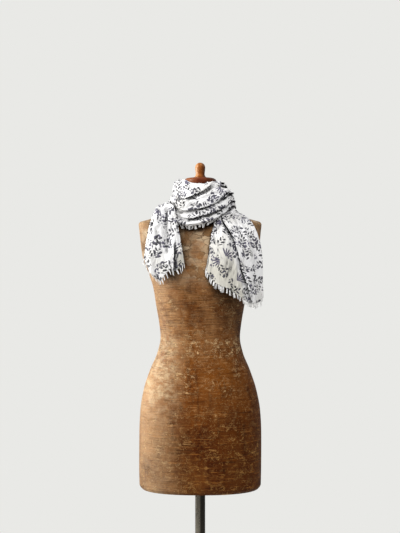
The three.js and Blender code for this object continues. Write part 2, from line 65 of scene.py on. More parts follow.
# A fold fades in and out over so many sections. The other lengths are in its half-widths: how far
# its upper layer runs before it settles, how far off it ends, and how far the cloth beneath its
# lip is drawn in. The tuck is how deep, as a share of the fold's rise.
FOLD_FADE, FOLD_SETTLE, FOLD_REACH = 0.9, 3, 6
TUCK, TUCK_REACH = 1.0, 0.5
LIP_SHARPNESS = 1.6
LIP_REACH, LIP_REACH_PER_SLIP = 0.9, 0.56

CLOTH_COLUMNS = 160  # faces across the cloth
# The fringe's tufts and threads: the distance between tufts, the threads in each, the joints and
# sides of a thread, its radius at the root and at the tip, how far its root lies on the cloth, and
# how much it bends down at each joint.
TUFT_PITCH, TUFT_THREADS = 8.4, 8
THREAD_JOINTS, THREAD_SIDES = 5, 3
THREAD_RADII = (0.46, 0.3)
THREAD_ROOT = 0.8
THREAD_DROOP = (0, 0, -0.12)

# -------- tables

# Level sections of the form: height, half its width, its depth to the front and to the back, and
# how square the section is (2 is an ellipse).
FORM_COLUMNS = ("z", "half_width", "front", "back", "square")
FORM_SECTIONS = [
    (0, 152, 104, 112, 2.35),
    (8, 158, 110, 119, 2.35),
    (58, 159, 112, 122, 2.35),
    (148, 158.5, 112, 122, 2.35),
    (200, 156, 109, 118, 2.35),
    (252, 147, 102, 108, 2.3),
    (304, 130, 92, 94, 2.25),
    (350, 111, 84, 81, 2.2),
    (388, 103.5, 81, 76, 2.2),
    (424, 107, 86, 79, 2.2),
    (468, 114.5, 98, 86, 2.2),
    (519, 122.5, 112, 94, 2.25),
    (552, 133, 115, 98, 2.35),
    (594, 149, 107, 100, 2.5),
    (631, 154.5, 95, 97, 2.6),
    (666, 158.5, 79, 86, 2.7),
    (681, 160, 68, 76, 2.7),
    (687, 157, 62, 70, 2.5),
    (694, 134, 57, 64, 2.2),
    (704, 103, 53, 58, 2.1),
    (716, 76, 50, 54, 2.0),
    (730, 59, 48, 50, 2.0),
    (750, 48, 46, 47, 2.0),
    (784, 42, 42, 42, 2.0),
]

# The long stretch of the stole: sections round the neck, at a turn in degrees from the front
# towards +X. Each has five lines from the upper edge to the lower, as (radius, height).
WOUND = [
    # turn, edge, roll, face, low, foot
    (-120, (51, 780), (55, 786), (61, 771), (64, 751), (63, 734)),
    (-86, (51, 786), (60, 794), (71, 774), (73, 748), (70, 728)),
    (-54, (51, 784), (63, 793), (79, 764), (85, 730), (85, 698)),
    (-24, (51, 777), (66, 785), (89, 754), (94, 713), (96, 673)),
    (6, (51, 774), (66, 781), (91, 752), (95, 716), (97, 680)),
    (34, (51, 780), (62, 786), (86, 760), (94, 730), (92, 699)),
    (64, (51, 781), (57, 787), (75, 768), (89, 749), (93, 728)),
    (98, (54, 780), (59, 786), (75, 766), (87, 744), (93, 719)),
    (138, (61, 777), (68, 783), (81, 763), (88, 735), (86, 708)),
    (180, (65, 772), (73, 778), (85, 753), (91, 720), (88, 689)),
    (219, (64, 769), (72, 774), (81, 751), (87, 721), (85, 694)),
    (246, (67, 754), (74, 758), (79, 741), (85, 724), (91, 709)),
]

# The same five lines where that stretch leaves the neck and hangs in front of the shoulder.
LEFT_FALL = [
    # edge, roll, face, low, foot
    ((-76, -4, 731), (-82, -4, 736), (-91, -3, 735), (-102, -1, 726), (-113, 3, 714)),
    ((-77, -46, 731), (-84, -49, 735), (-94, -43, 733), (-108, -35, 724), (-121, -24, 711)),
    ((-66, -69, 722), (-77, -78, 723), (-92, -75, 719), (-110, -64, 711), (-123, -50, 698)),
    ((-60, -92, 693), (-72, -97, 695), (-92, -96, 692), (-113, -85, 687), (-127, -67, 680)),
    ((-52, -107, 655), (-68, -111, 656), (-93, -108, 654), (-118, -96, 651), (-134, -75, 648)),
    ((-45, -117, 612), (-65, -122, 611), (-93, -118, 610), (-121, -106, 610), (-139, -79, 612)),
    ((-38, -122, 570), (-61, -127, 566), (-93, -123, 564), (-121, -111, 568), (-140, -87, 574)),
    ((-34, -124, 526), (-58, -128, 522), (-92, -124, 520), (-120, -113, 524), (-138, -92, 532)),
]

# The short stretch: its hidden turn round the back of the neck, then its fall over the other
# shoulder.
TUCKED = [
    (240, (51, 780), (55, 786), (61, 771), (64, 751), (63, 734)),
    (202, (49, 783), (53, 790), (58, 771), (59, 746), (56, 724)),
    (162, (49, 783), (53, 790), (58, 771), (59, 746), (56, 723)),
    (126, (49, 778), (53, 783), (59, 766), (63, 748), (67, 732)),
]

RIGHT_FALL = [
    ((51, 0, 766), (55, 0, 770), (63, -1, 756), (71, -1, 740), (80, 2, 725)),
    ((46, -32, 746), (53, -36, 746), (65, -34, 734), (79, -27, 724), (97, -11, 715)),
    ((38, -53, 710), (48, -57, 708), (62, -53, 704), (86, -45, 705), (118, -28, 701)),
    ((33, -74, 675), (45, -84, 675), (67, -87, 674), (101, -80, 676), (137, -57, 676)),
    ((27, -95, 643), (41, -110, 645), (72, -114, 645), (111, -105, 642), (150, -77, 638)),
    ((20, -106, 602), (37, -124, 603), (75, -128, 603), (117, -118, 600), (156, -86, 596)),
    ((13, -115, 558), (33, -130, 558), (77, -133, 558), (119, -124, 556), (157, -92, 553)),
    ((8, -113, 513), (31, -130, 513), (79, -135, 513), (122, -127, 511), (158, -95, 509)),
    ((5, -113, 466), (30, -129, 466), (80, -135, 466), (124, -128, 465), (158, -97, 464)),
]

# Folds: the sections they run between, their place across the cloth at each end (0 is the upper
# edge), how far the cloth rises there and how far it slips over itself, and their half-width.
FOLD_COLUMNS = ("start", "end", "at0", "at1", "rise", "slip", "width")
WOUND_FOLDS = [
    (2.5, 5.3, 0.65, 0.20, -5, 8, 0.04),
    (4.1, 6.6, 0.66, 0.44, -5, 4, 0.035),
    (2.2, 6.6, 0.76, 0.58, -5, 10, 0.04),
    (2.5, 6.4, 0.865, 0.78, -4, 7, 0.035),
    (7.0, 9.8, 0.58, 0.42, -6, 7, 0.05),
    (7.4, 11.2, 0.74, 0.84, -7, 7, 0.045),
    (8.8, 12.2, 0.36, 0.55, -6, 5, 0.05),
    (13.0, 17.8, 0.43, 0.40, -11, 0, 0.12),
    (13.4, 19.0, 0.74, 0.70, 8, 0, 0.14),
    (16.2, 20.4, 0.24, 0.38, 7, 6, 0.055),
]
TUCKED_FOLDS = [
    (1.0, 3.6, 0.50, 0.60, 3, 0, 0.12),
    (5.6, 13, 0.48, 0.86, 6, 15, 0.045),
    (5.8, 11.6, 0.84, 0.92, -5, 0, 0.06),
    (6.4, 11.2, 0.18, 0.24, -5, 0, 0.06),
    (6.8, 12.2, 0.38, 0.48, 4, 0, 0.07),
]

# Small pleats that the solids leave out, in the same columns.
WOUND_PLEATS = [
    (4.7, 7.0, 0.34, 0.44, -4, 5, 0.028),
    (5.0, 7.6, 0.5, 0.68, -4, 5, 0.026),
    (5.3, 7.4, 0.16, 0.26, -3, 4, 0.026),
    (4.4, 6.9, 0.07, 0.17, -3, 4, 0.024),
    (5.2, 8.0, 0.3, 0.34, -3.5, 4, 0.022),
    (5.6, 8.2, 0.6, 0.55, -3.5, 4, 0.024),
    (5.0, 7.0, 0.88, 0.82, -3, 4, 0.022),
]

# Soft creases that they leave out too, which don't slip.
CREASE_COLUMNS = ("start", "end", "at0", "at1", "rise", "width")
WOUND_CREASES = [
    (2.0, 5.4, 0.95, 0.95, 5, 0.035),
    (1.6, 4.4, 0.62, 0.56, -3.4, 0.022),
    (1.0, 3.4, 0.7, 0.78, 3.4, 0.026),
    (3.0, 4.2, 0.5, 0.36, -2.8, 0.014),
    (3.9, 5.8, 0.67, 0.54, -5.0, 0.016),
    (3.4, 4.9, 0.84, 0.9, 3.0, 0.02),
    (4.9, 7.2, 0.16, 0.46, 3.2, 0.022),
    (4.8, 6.8, 0.28, 0.66, -3.4, 0.02),
    (5.0, 7.6, 0.42, 0.8, 3.2, 0.024),
    (5.2, 7.4, 0.64, 0.92, -3.0, 0.02),
    (0.2, 3.0, 0.3, 0.42, 1.8, 0.04),
    (0.6, 3.4, 0.52, 0.6, -1.6, 0.035),
    (1.2, 4.4, 0.18, 0.36, 1.6, 0.03),
    (1.6, 4.2, 0.93, 0.95, 1.6, 0.025),
    (2.8, 4.6, 0.48, 0.36, -1.7, 0.02),
    (3.2, 6.0, 0.58, 0.36, 2.0, 0.025),
    (3.4, 6.4, 0.8, 0.69, 1.9, 0.022),
    (3.8, 5.4, 0.9, 0.92, -2.0, 0.022),
    (4.0, 6.2, 0.3, 0.22, -1.8, 0.02),
    (4.2, 7.4, 0.52, 0.5, -2.2, 0.022),
    (4.4, 7.0, 0.12, 0.3, 1.8, 0.022),
    (4.8, 7.8, 0.86, 0.62, 2.2, 0.025),
    (5.4, 8.6, 0.7, 0.74, -2.2, 0.025),
    (6.0, 9.2, 0.22, 0.28, 2.0, 0.03),
    (7.0, 10.4, 0.52, 0.62, 2.4, 0.03),
    (7.8, 11.6, 0.9, 0.93, -2.0, 0.025),
    (8.4, 11.4, 0.16, 0.22, -2.0, 0.03),
    (9.4, 13.0, 0.7, 0.72, 2.4, 0.03),
    (10.2, 13.4, 0.3, 0.2, 2.2, 0.03),
    (10.8, 14.6, 0.46, 0.34, -2.2, 0.03),
    (11.6, 15.6, 0.12, 0.1, 2.0, 0.03),
    (12.2, 16.8, 0.68, 0.68, 4, 0.035),
    (13.2, 17.4, 0.5, 0.46, -2.5, 0.045),
    (12.4, 17.8, 0.4, 0.3, 2.2, 0.035),
    (13.2, 16.4, 0.94, 0.9, -1.8, 0.03),
    (14.2, 18.6, 0.76, 0.62, -2.2, 0.04),
    (14.8, 18.4, 0.18, 0.08, 1.8, 0.03),
    (15.4, 19.2, 0.46, 0.5, 1.6, 0.035),
    (16.6, 20.0, 0.7, 0.74, 1.8, 0.035),
    (16.0, 19.4, 0.9, 0.94, 1.6, 0.03),
]
TUCKED_CREASES = [
    (0.2, 3.0, 0.24, 0.3, 2.0, 0.04),
    (0.4, 3.4, 0.72, 0.66, -2.0, 0.04),
    (2.6, 6.8, 0.36, 0.3, 2.0, 0.03),
    (3.2, 7.4, 0.62, 0.72, -2.2, 0.03),
    (3.8, 8.4, 0.8, 0.9, 2.2, 0.03),
    (4.6, 8.8, 0.12, 0.1, 2.0, 0.025),
    (5.0, 9.8, 0.52, 0.6, 2.0, 0.025),
    (5.4, 10.0, 0.26, 0.32, -2.0, 0.025),
    (6.0, 10.8, 0.7, 0.76, -2.4, 0.025),
    (6.6, 11.6, 0.34, 0.44, 1.8, 0.025),
    (7.2, 12.4, 0.78, 0.82, 2.2, 0.025),
    (7.8, 11.2, 0.14, 0.2, -1.8, 0.03),
    (8.4, 12.2, 0.9, 0.8, -1.8, 0.025),
    (9.2, 12.4, 0.48, 0.52, -1.6, 0.025),
    (9.6, 12.8, 0.96, 0.97, -1.6, 0.02),
]

# The gauze's own crinkle, in two sizes: square millimetres of cloth to each crease, the range of
# its length, of its half-width and of its height, and how far it may slant.
CRINKLES = [
    (1100, (16, 48), (2.6, 5.2), (1.1, 2.6), 0.35),
    (300, (12, 44), (1.3, 3.0), (0.4, 1.1), 0.3),
]

# Where the hanging ends stop: (place across, section).
LEFT_HEM = [
    (0, 17.8), (0.25, 18.1), (0.36, 17.9), (0.44, 18.2), (0.56, 18.62), (0.8, 18.1), (1, 17.5),
]
RIGHT_HEM = [
    (0, 9.7), (0.15, 10.25), (0.3, 10.62), (0.6, 11.28), (0.72, 11.6), (0.86, 11.58), (1, 11.28),
]

# -------- curves


def ease(value):
    """0 to 1 with a soft start and a soft end."""
    f = np.clip(value, 0, 1)
    return f * f * (3 - 2 * f)


def cubic(a, b, c, d, f):
    """A share f of the way from b to c, on a smooth curve through four values."""
    return b + 0.5 * f * (c - a + f * (2 * a - 5 * b + 4 * c - d + f * (3 * (b - c) + d - a)))


def spline(values, place):
    """Smooth curve through equally spaced rows of values, at an array of places counted in rows."""
    last = len(values) - 1
    place = np.clip(place, 0, last)
    i = np.minimum(place.astype(int), last - 1)
    f = (place - i).reshape(place.shape + (1,) * (values.ndim - 1))
    return cubic(*(values[np.clip(i + k, 0, last)] for k in (-1, 0, 1, 2)), f)


def spline_across(lines, across):
    """The same curve through the five lines of each place: lines is (..., 5, 3), across (...)."""
    last = lines.shape[-2] - 1
    place = np.clip(across, 0, 1) * last
    i = np.minimum(place.astype(int), last - 1)
    f = (place - i)[..., None]

    def row(k):
        index = np.clip(i + k, 0, last)[..., None, None]
        return np.take_along_axis(lines, index, axis=-2)[..., 0, :]

    return cubic(*(row(k) for k in (-1, 0, 1, 2)), f)


def unbent(x, keys, values):
    """A curve through keys that never overshoots them."""
    keys, values = np.asarray(keys, float), np.asarray(values, float)
    slope = np.diff(values) / np.diff(keys)
    tangent = np.zeros_like(values)
    tangent[0], tangent[-1] = slope[0], slope[-1]
    both = slope[:-1] * slope[1:]
    with np.errstate(divide="ignore", invalid="ignore"):
        mean = 2 * both / (slope[:-1] + slope[1:])
    tangent[1:-1] = np.where(both > 0, mean, 0)
    i = np.clip(np.searchsorted(keys, x, side="right") - 1, 0, len(keys) - 2)
    span = keys[i + 1] - keys[i]
    f = np.clip((x - keys[i]) / span, 0, 1)
    rise = values[i + 1] - values[i]
    bend = span * ((1 - f) * tangent[i] - f * tangent[i + 1]) + rise * (2 * f - 1)
    return values[i] + rise * f + f * (1 - f) * bend


def form_section(z):
    """Half the width, the front and back depths and the squareness of the form at heights z."""
    keys = [row[0] for row in FORM_SECTIONS]
    z = np.clip(z, 0, NECK_TOP)
    return [unbent(z, keys, [row[k] for row in FORM_SECTIONS]) for k in range(1, len(FORM_COLUMNS))]


def keep_clear(points, gap):
    """Moves points that are nearer to the form than a gap straight out from its axis."""
    half_width, front, back, square = form_section(points[..., 2] - gap)
    depth = np.where(points[..., 1] < 0, front, back)
    reach = (np.abs(points[..., 0]) / (half_width + gap)) ** square
    reach = reach + (np.abs(points[..., 1]) / (depth + gap)) ** square
    inside = (reach < 1) & (points[..., 2] <= NECK_TOP)
    grow = np.where(inside, np.maximum(reach, 1e-9) ** (-1 / square), 1)
    return points * np.stack([grow, grow, np.ones_like(grow)], axis=-1)


# -------- the cloth


def named_folds(folds, creases):
    """The folds and then the soft creases, as rows with names."""
    rows = [dict(zip(FOLD_COLUMNS, row)) for row in folds]
    return rows + [dict(zip(CREASE_COLUMNS, row), slip=0) for row in creases]


def round_the_neck(rows):
    """Sections as points, from rows of a turn in degrees and (radius, height) lines."""
    sections = []
    for turn, *lines in rows:
        angle = math.radians(turn)
        sections.append([(r * math.sin(angle), -r * math.cos(angle), z) for r, z in lines])
    return sections


class Stretch:
    """A stretch of cloth: its sections in order, its folds, and which of its sides faces out."""

    def __init__(self, sections, folds, width, outward, middle, seed):
        self.sections = np.array(sections, float)
        self.width = width
        self.folds = folds
        self.outward = outward
        # The cloth laid flat: distances along and across it from a middle section.
        self.rows = np.linspace(0, len(sections) - 1, 40 * (len(sections) - 1) + 1)
        self.columns = np.linspace(0, 1, 241)
        along, across = np.meshgrid(self.rows, self.columns, indexing="ij")
        points = self.points(along, across)
        first = int(np.searchsorted(self.rows, middle))
        lengths = np.mean(arc(points, 0, first), axis=1)
        self.flat_u = np.repeat(lengths[:, None], len(self.columns), axis=1)
        self.flat_v = arc(points, 1, len(self.columns) // 2)
        self.creases = crinkles(self.flat_u, self.flat_v, seed)

    def flat(self, along, across):
        """Millimetres along and across the flat cloth, for places on the stretch."""
        return [bilinear(table, self.rows, self.columns, along, across)
                for table in (self.flat_u, self.flat_v)]

    def facing(self, surface, along, across, step, side):
        """Which way a surface faces and which way is down it, from places a step and a side off."""
        on = surface(along + step, across) - surface(along - step, across)
        down = unit(surface(along, across + side) - surface(along, across - side))
        return unit(np.cross(down, on)) * self.outward, down

    def crumpled(self, along, across):
        """The cloth's middle surface with its crinkles too."""
        points = self.points(along, across)
        normals, _ = self.facing(self.points, along, across, 0.02, 0.004)
        u, v = self.flat(along, across)
        lift = sum(crease_lift(crease, u, v) for crease in self.creases)
        return keep_clear(points + normals * lift[..., None], CRINKLE_CLEAR)

    def smooth(self, along, across):
        """The cloth without its folds."""
        return spline_across(spline(self.sections, along), across)

    @staticmethod
    def fold_at(fold, along):
        """The fold's strength at each section, and its place across the cloth."""
        strength = ease((along - fold["start"]) / FOLD_FADE)
        strength = strength * ease((fold["end"] - along) / FOLD_FADE)
        share = np.clip((along - fold["start"]) / (fold["end"] - fold["start"]), 0, 1)
        return strength, fold["at0"] + (fold["at1"] - fold["at0"]) * share

    def lip(self, fold):
        """How far the edge of a slipping fold reaches over the cloth beneath, in half-widths."""
        return LIP_REACH + LIP_REACH_PER_SLIP * fold["slip"] / (fold["width"] * self.width)

    def across_fold(self, fold, along, across):
        """The fold's strength, the distance from it in half-widths, the same counted towards its
        upper layer, and how far the place lies in beneath its lip, from 0 to 1."""
        strength, place = self.fold_at(fold, along)
        t = np.clip((across - place) / fold["width"], -FOLD_REACH, FOLD_REACH)
        upper = -t if fold["rise"] < 0 else t
        lip = self.lip(fold)
        beneath = strength * np.exp(-(((upper + lip) / TUCK_REACH) ** 2)) * (fold["slip"] > 0)
        return strength, t, upper, beneath

    def points(self, along, across):
        """The cloth's middle surface, folds included."""
        points = self.smooth(along, across)
        out, down = self.facing(self.smooth, along, across, 0.01, 0.01)
        for fold in self.folds:
            strength, t, upper, beneath = self.across_fold(fold, along, across)
            if fold["slip"] == 0:
                lift = strength * fold["rise"] * np.exp(-t * t)
                points = points + out * lift[..., None]
                continue
            step_up = 0.5 + 0.5 * np.tanh(LIP_SHARPNESS * upper)
            settle = np.where(upper > 0, np.exp(-upper * upper / FOLD_SETTLE ** 2), 1)
            lift = abs(fold["rise"]) * (strength * step_up * settle - TUCK * beneath)
            slide = -strength * fold["slip"] * t * np.exp(0.5 - t * t / 2)
            points = points + out * lift[..., None] + down * slide[..., None]
        return keep_clear(points, CLOTH_CLEAR)

    def crowded(self, along, count):
        """Places across the cloth at each section, closer together at its folds."""
        slices, slip_crowd, fold_crowd = 240, 2.5, 0.6
        samples = (np.arange(slices) + 0.5) / slices
        crowd = np.ones((len(along), len(samples)))
        for fold in self.folds:
            strength, place = self.fold_at(fold, along)
            weight = slip_crowd if fold["slip"] else fold_crowd
            near = np.exp(-(((samples[None, :] - place[:, None]) / fold["width"]) ** 2) / 4)
            crowd += weight * strength[:, None] * near
        total = np.concatenate([np.zeros((len(along), 1)), np.cumsum(crowd, axis=1)], axis=1)
        edges = np.arange(slices + 1) / slices
        wanted = np.linspace(0, 1, count + 1)
        return np.array([np.interp(wanted, row / row[-1], edges) for row in total])


def unit(vectors):
    """Vectors of length 1."""
    return vectors / np.maximum(np.linalg.norm(vectors, axis=-1, keepdims=True), 1e-9)


def rounded_hem(rows):
    """A hem's table as a function with its corners rounded off."""
    keys, values = zip(*rows)
    x = np.linspace(-0.1, 1.1, 481)
    window = np.hanning(33)
    y = np.convolve(np.interp(x, keys, values), window / window.sum(), mode="same")
    return lambda across: np.interp(across, x, y)


class Grid:
    """A grid of places on a stretch from one section to another, or to a hem."""

    def __init__(self, stretch, first, last, rows):
        end = rounded_hem(last) if isinstance(last, list) else (lambda across: last)
        reach = max(section for _, section in last) if isinstance(last, list) else last
        share = np.linspace(0, 1, rows + 1)
        self.across = stretch.crowded(first + (reach - first) * share, CLOTH_COLUMNS)
        self.along = first + (end(self.across) - first) * share[:, None]
        self.points = stretch.crumpled(self.along, self.across)
        self.u, self.v = stretch.flat(self.along, self.across)
        self.outward = stretch.outward
        self.normals = grid_normals(self.points, self.outward)
        self.sheer = np.zeros_like(self.u)
        self.crevice_shade = np.zeros_like(self.u)

    def shade_beside(self, line, reach):
        """Marks the cloth that lies in the shade beside another cloth's edge."""
        far = np.full(self.u.shape, np.inf)
        for point in line[::3]:  # every third point is close enough
            far = np.minimum(far, np.sum((self.points - point) ** 2, axis=-1))
        self.crevice_shade = np.maximum(self.crevice_shade, np.exp(-far / reach ** 2))

    def thin_above(self, stretch, fold, gathered):
        """Marks the single layer of cloth on the upper side of a fold, where the form shows through,
        but not above the section down to which it is gathered."""
        opening, soft_edge = 2.5, 1.2  # in sections, and in half-widths of the fold
        strength, _, upper, _ = stretch.across_fold(fold, self.along, self.across)
        opened = ease((self.along - gathered) / opening)
        self.sheer = strength * opened * ease((-stretch.lip(fold) - upper) / soft_edge)

    def edge_down(self):
        """The lower edge of the last row: the hem."""
        return Edge(self.points[-1], self.points[-3], self.normals[-1])

    def edge_foot(self, first, last):
        """The lower side edge, between two sections."""
        rows = (self.along[:, -1] >= first) & (self.along[:, -1] <= last)
        return Edge(self.points[rows, -1], self.points[rows, -3], self.normals[rows, -1])


def arc(points, axis, first):
    """Distance along one way of a grid of points, from one of its rows or columns."""
    steps = np.linalg.norm(np.diff(points, axis=axis), axis=-1)
    total = np.cumsum(np.insert(steps, 0, 0, axis=axis), axis=axis)
    return total - np.take(total, [first], axis=axis)


def bilinear(table, rows, columns, along, across):
    """Values between the entries of a table with evenly spaced rows and columns."""
    short_of_end = 1.001  # so that a place on the last entry has a cell too
    i = np.clip((along - rows[0]) / (rows[1] - rows[0]), 0, len(rows) - short_of_end)
    j = np.clip((across - columns[0]) / (columns[1] - columns[0]), 0, len(columns) - short_of_end)
    i0, j0 = i.astype(int), j.astype(int)
    fi, fj = i - i0, j - j0
    upper = table[i0, j0] * (1 - fj) + table[i0, j0 + 1] * fj
    lower = table[i0 + 1, j0] * (1 - fj) + table[i0 + 1, j0 + 1] * fj
    return upper * (1 - fi) + lower * fi


def grid_normals(points, outward):
    """The way that a grid of points faces."""
    along = np.gradient(points, axis=0)
    across = np.gradient(points, axis=1)
    return unit(np.cross(across, along)) * outward


def crinkles(u, v, seed):
    """The fine uneven creases of crinkled gauze over a stretch of flat cloth: long along the
    cloth and narrow across it."""
    rng = random.Random(seed)
    span_u, span_v = (u.min(), u.max()), (v.min(), v.max())
    area = (span_u[1] - span_u[0]) * (span_v[1] - span_v[0])
    creases = []
    for each, lengths, widths, heights, slant in CRINKLES:
        for _ in range(int(area / each)):
            creases.append({
                "u": rng.uniform(*span_u), "v": rng.uniform(*span_v),
                "angle": rng.gauss(0, slant), "bend": rng.uniform(-0.004, 0.004),
                "length": rng.uniform(*lengths), "width": rng.uniform(*widths),
                "height": rng.choice((-1, 1)) * rng.uniform(*heights)})
    return creases


def crease_lift(crease, u, v):
    """How far one crease lifts the cloth."""
    u, v = u - crease["u"], v - crease["v"]
    c, s = math.cos(crease["angle"]), math.sin(crease["angle"])
    a = u * c + v * s
    b = v * c - u * s + crease["bend"] * a * a
    far = np.minimum((b / crease["width"]) ** 2 + (a / crease["length"]) ** 4, 30)
    return crease["height"] * np.exp(-far)


# -------- meshes


def mesh_object(name, vertices, faces, material):
    """An object in the row frame from millimetre points above the form's bottom edge."""
    mesh = bpy.data.meshes.new(name)
    placed = (np.asarray(vertices, float) + (0, 0, FORM_BOTTOM)) * MM
    mesh.from_pydata(placed.tolist(), [], faces)
    mesh.polygons.foreach_set("use_smooth", [True] * len(mesh.polygons))
    mesh.materials.append(material)
    obj = bpy.data.objects.new(name, mesh)
    bpy.context.scene.collection.objects.link(obj)
    return obj


def grid_faces(rows, columns, closed=False, flip=False):
    """Four-sided faces over a grid of vertices. A closed one's last column joins its first."""
    i, j = np.meshgrid(np.arange(rows - 1), np.arange(columns - (not closed)), indexing="ij")
    k = (j + 1) % columns
    corners = [i * columns + j, i * columns + k, (i + 1) * columns + k, (i + 1) * columns + j]
    faces = np.stack([c.ravel() for c in corners], axis=1)
    return (faces[:, ::-1] if flip else faces).tolist()


def cloth_object(name, grid, material):
    """The gauze as a thin shell on a grid, with its print's coordinates in metres."""
    rows, columns = grid.u.shape
    faces = grid_faces(rows, columns, flip=grid.outward < 0)
    obj = mesh_object(name, grid.points.reshape(-1, 3), faces, material)
    flat = np.stack([grid.u, grid.v], axis=-1).reshape(-1, 2) * MM
    layer = obj.data.uv_layers.new(name="cloth")
    index = np.empty(len(obj.data.loops), dtype=np.int32)
    obj.data.loops.foreach_get("vertex_index", index)
    layer.data.foreach_set("uv", flat[index].ravel())
    for key in ("sheer", "crevice_shade"):
        values = obj.data.attributes.new(key, "FLOAT", "POINT")
        values.data.foreach_set("value", getattr(grid, key).ravel().astype(np.float32))
    shell = obj.modifiers.new("thickness", "SOLIDIFY")
    shell.thickness = CLOTH * MM
    shell.offset = 0
    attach(obj, "root")
    return obj


def capped_faces(rows, sides):
    """The faces of a stack of closed rings, with a flat face over each end."""
    faces = grid_faces(rows, sides, closed=True)
    last = (rows - 1) * sides
    return faces + [list(range(sides))[::-1], list(range(last, last + sides))]


def turned_object(name, node, outline, material, sides, base=0.0):
    """A turned piece in place of a node, from its outline's (radius, height) above its base."""
    turns = np.linspace(0, 2 * math.pi, sides, endpoint=False)
    rings = [[(r * math.cos(t), r * math.sin(t), h + base) for t in turns] for r, h in outline]
    faces = capped_faces(len(outline), sides)
    obj = mesh_object(name, np.array(rings).reshape(-1, 3), faces, material)
    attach(obj, "root")
    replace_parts(obj, node)


def rounded(outline, radius, steps=4):
    """An outline with its inner corners rounded off."""
    points = [np.array(p, float) for p in outline]
    out = [points[0]]
    for before, corner, after in zip(points, points[1:], points[2:]):
        to_before, to_after = before - corner, after - corner
        cut = min(radius, np.linalg.norm(to_before) / 2.01, np.linalg.norm(to_after) / 2.01)
        start = corner + unit(to_before) * cut
        end = corner + unit(to_after) * cut
        for k in range(steps + 1):
            t = k / steps
            out.append((1 - t) ** 2 * start + 2 * t * (1 - t) * corner + t * t * end)
    return [tuple(p) for p in out + [points[-1]]]


# -------- the fringe


class Edge:
    """An edge of the cloth: its points, the way threads leave it, and its normals."""

    def __init__(self, points, inside, normals):
        self.points = points
        self.leave = unit(points - inside)
        self.normals = normals
        self.places = np.insert(np.cumsum(np.linalg.norm(np.diff(points, axis=0), axis=1)), 0, 0)

    @property
    def length(self):
        return self.places[-1]

    def at(self, place):
        """The point, the way out and the normal at a distance along the edge."""
        def mix(values):
            return np.array([np.interp(place, self.places, values[:, k]) for k in range(3)])

        return mix(self.points), unit(mix(self.leave)), unit(mix(self.normals))


def thread_points(edge, place, reach, lean, lift):
    """A loose thread from the cloth's edge: it leaves straight and bends down."""
    point, leave, normal = edge.at(place)
    side = np.cross(leave, normal)
    way = unit(leave + side * lean + normal * lift)
    points = [point - leave * THREAD_ROOT]
    for _ in range(THREAD_JOINTS):
        way = unit(way + np.array(THREAD_DROOP))
        points.append(points[-1] + way * (reach + THREAD_ROOT) / THREAD_JOINTS)
    return keep_clear(np.array(points), THREAD_CLEAR)


def tube_rings(points, radii, sides):
    """Rings round a thread's points."""
    on = unit(np.gradient(points, axis=0))
    any_way = (0.31, 0.17, 0.93)
    side = unit(np.cross(on, any_way))
    up = np.cross(on, side)
    turns = np.arange(sides) * 2 * math.pi / sides
    ring = np.cos(turns)[None, :, None] * side[:, None] + np.sin(turns)[None, :, None] * up[:, None]
    return points[:, None] + ring * radii[:, None, None]


def thread_faces(first):
    """The faces of one thread, whose vertices start at an index."""
    sides, last = THREAD_SIDES, first + THREAD_JOINTS * THREAD_SIDES
    around = grid_faces(THREAD_JOINTS + 1, sides, closed=True)
    faces = [[first + corner for corner in face] for face in around]
    return faces + [list(range(first, first + sides)), list(range(last, last + sides))[::-1]]


def fringe_object(name, edge, length, material, seed):
    """Tufts of threads along an edge, in one mesh."""
    rng = random.Random(seed)
    radii = np.linspace(*THREAD_RADII, THREAD_JOINTS + 1)
    vertices, faces = [], []
    place = 0.6
    while place < edge.length - 0.4:
        reach = length * rng.uniform(0.72, 1.15)
        lean, lift = rng.gauss(0, 0.2), rng.gauss(0, 0.1)
        spread = TUFT_PITCH * rng.uniform(0.14, 0.27)
        for k in range(TUFT_THREADS):
            off = (k / (TUFT_THREADS - 1) * 2 - 1) * spread + rng.uniform(-0.2, 0.2)
            root = min(max(place + off, 0.1), edge.length - 0.1)
            gather = -off / reach * rng.uniform(0.5, 1.1)
            own_reach = reach * rng.uniform(0.82, 1.05)
            points = thread_points(edge, root, own_reach, lean + gather, lift)
            faces.extend(thread_faces(len(vertices)))
            vertices.extend(tube_rings(points, radii, THREAD_SIDES).reshape(-1, 3).tolist())
        place += TUFT_PITCH * rng.uniform(0.65, 1.4)
    obj = mesh_object(name, vertices, faces, material)
    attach(obj, "root")
    return obj


# -------- materials


def math_call(operation):
    """A short call for one kind of sum."""
    def call(self, *values, **settings):
        return self.math(operation, *values, **settings)

    return call


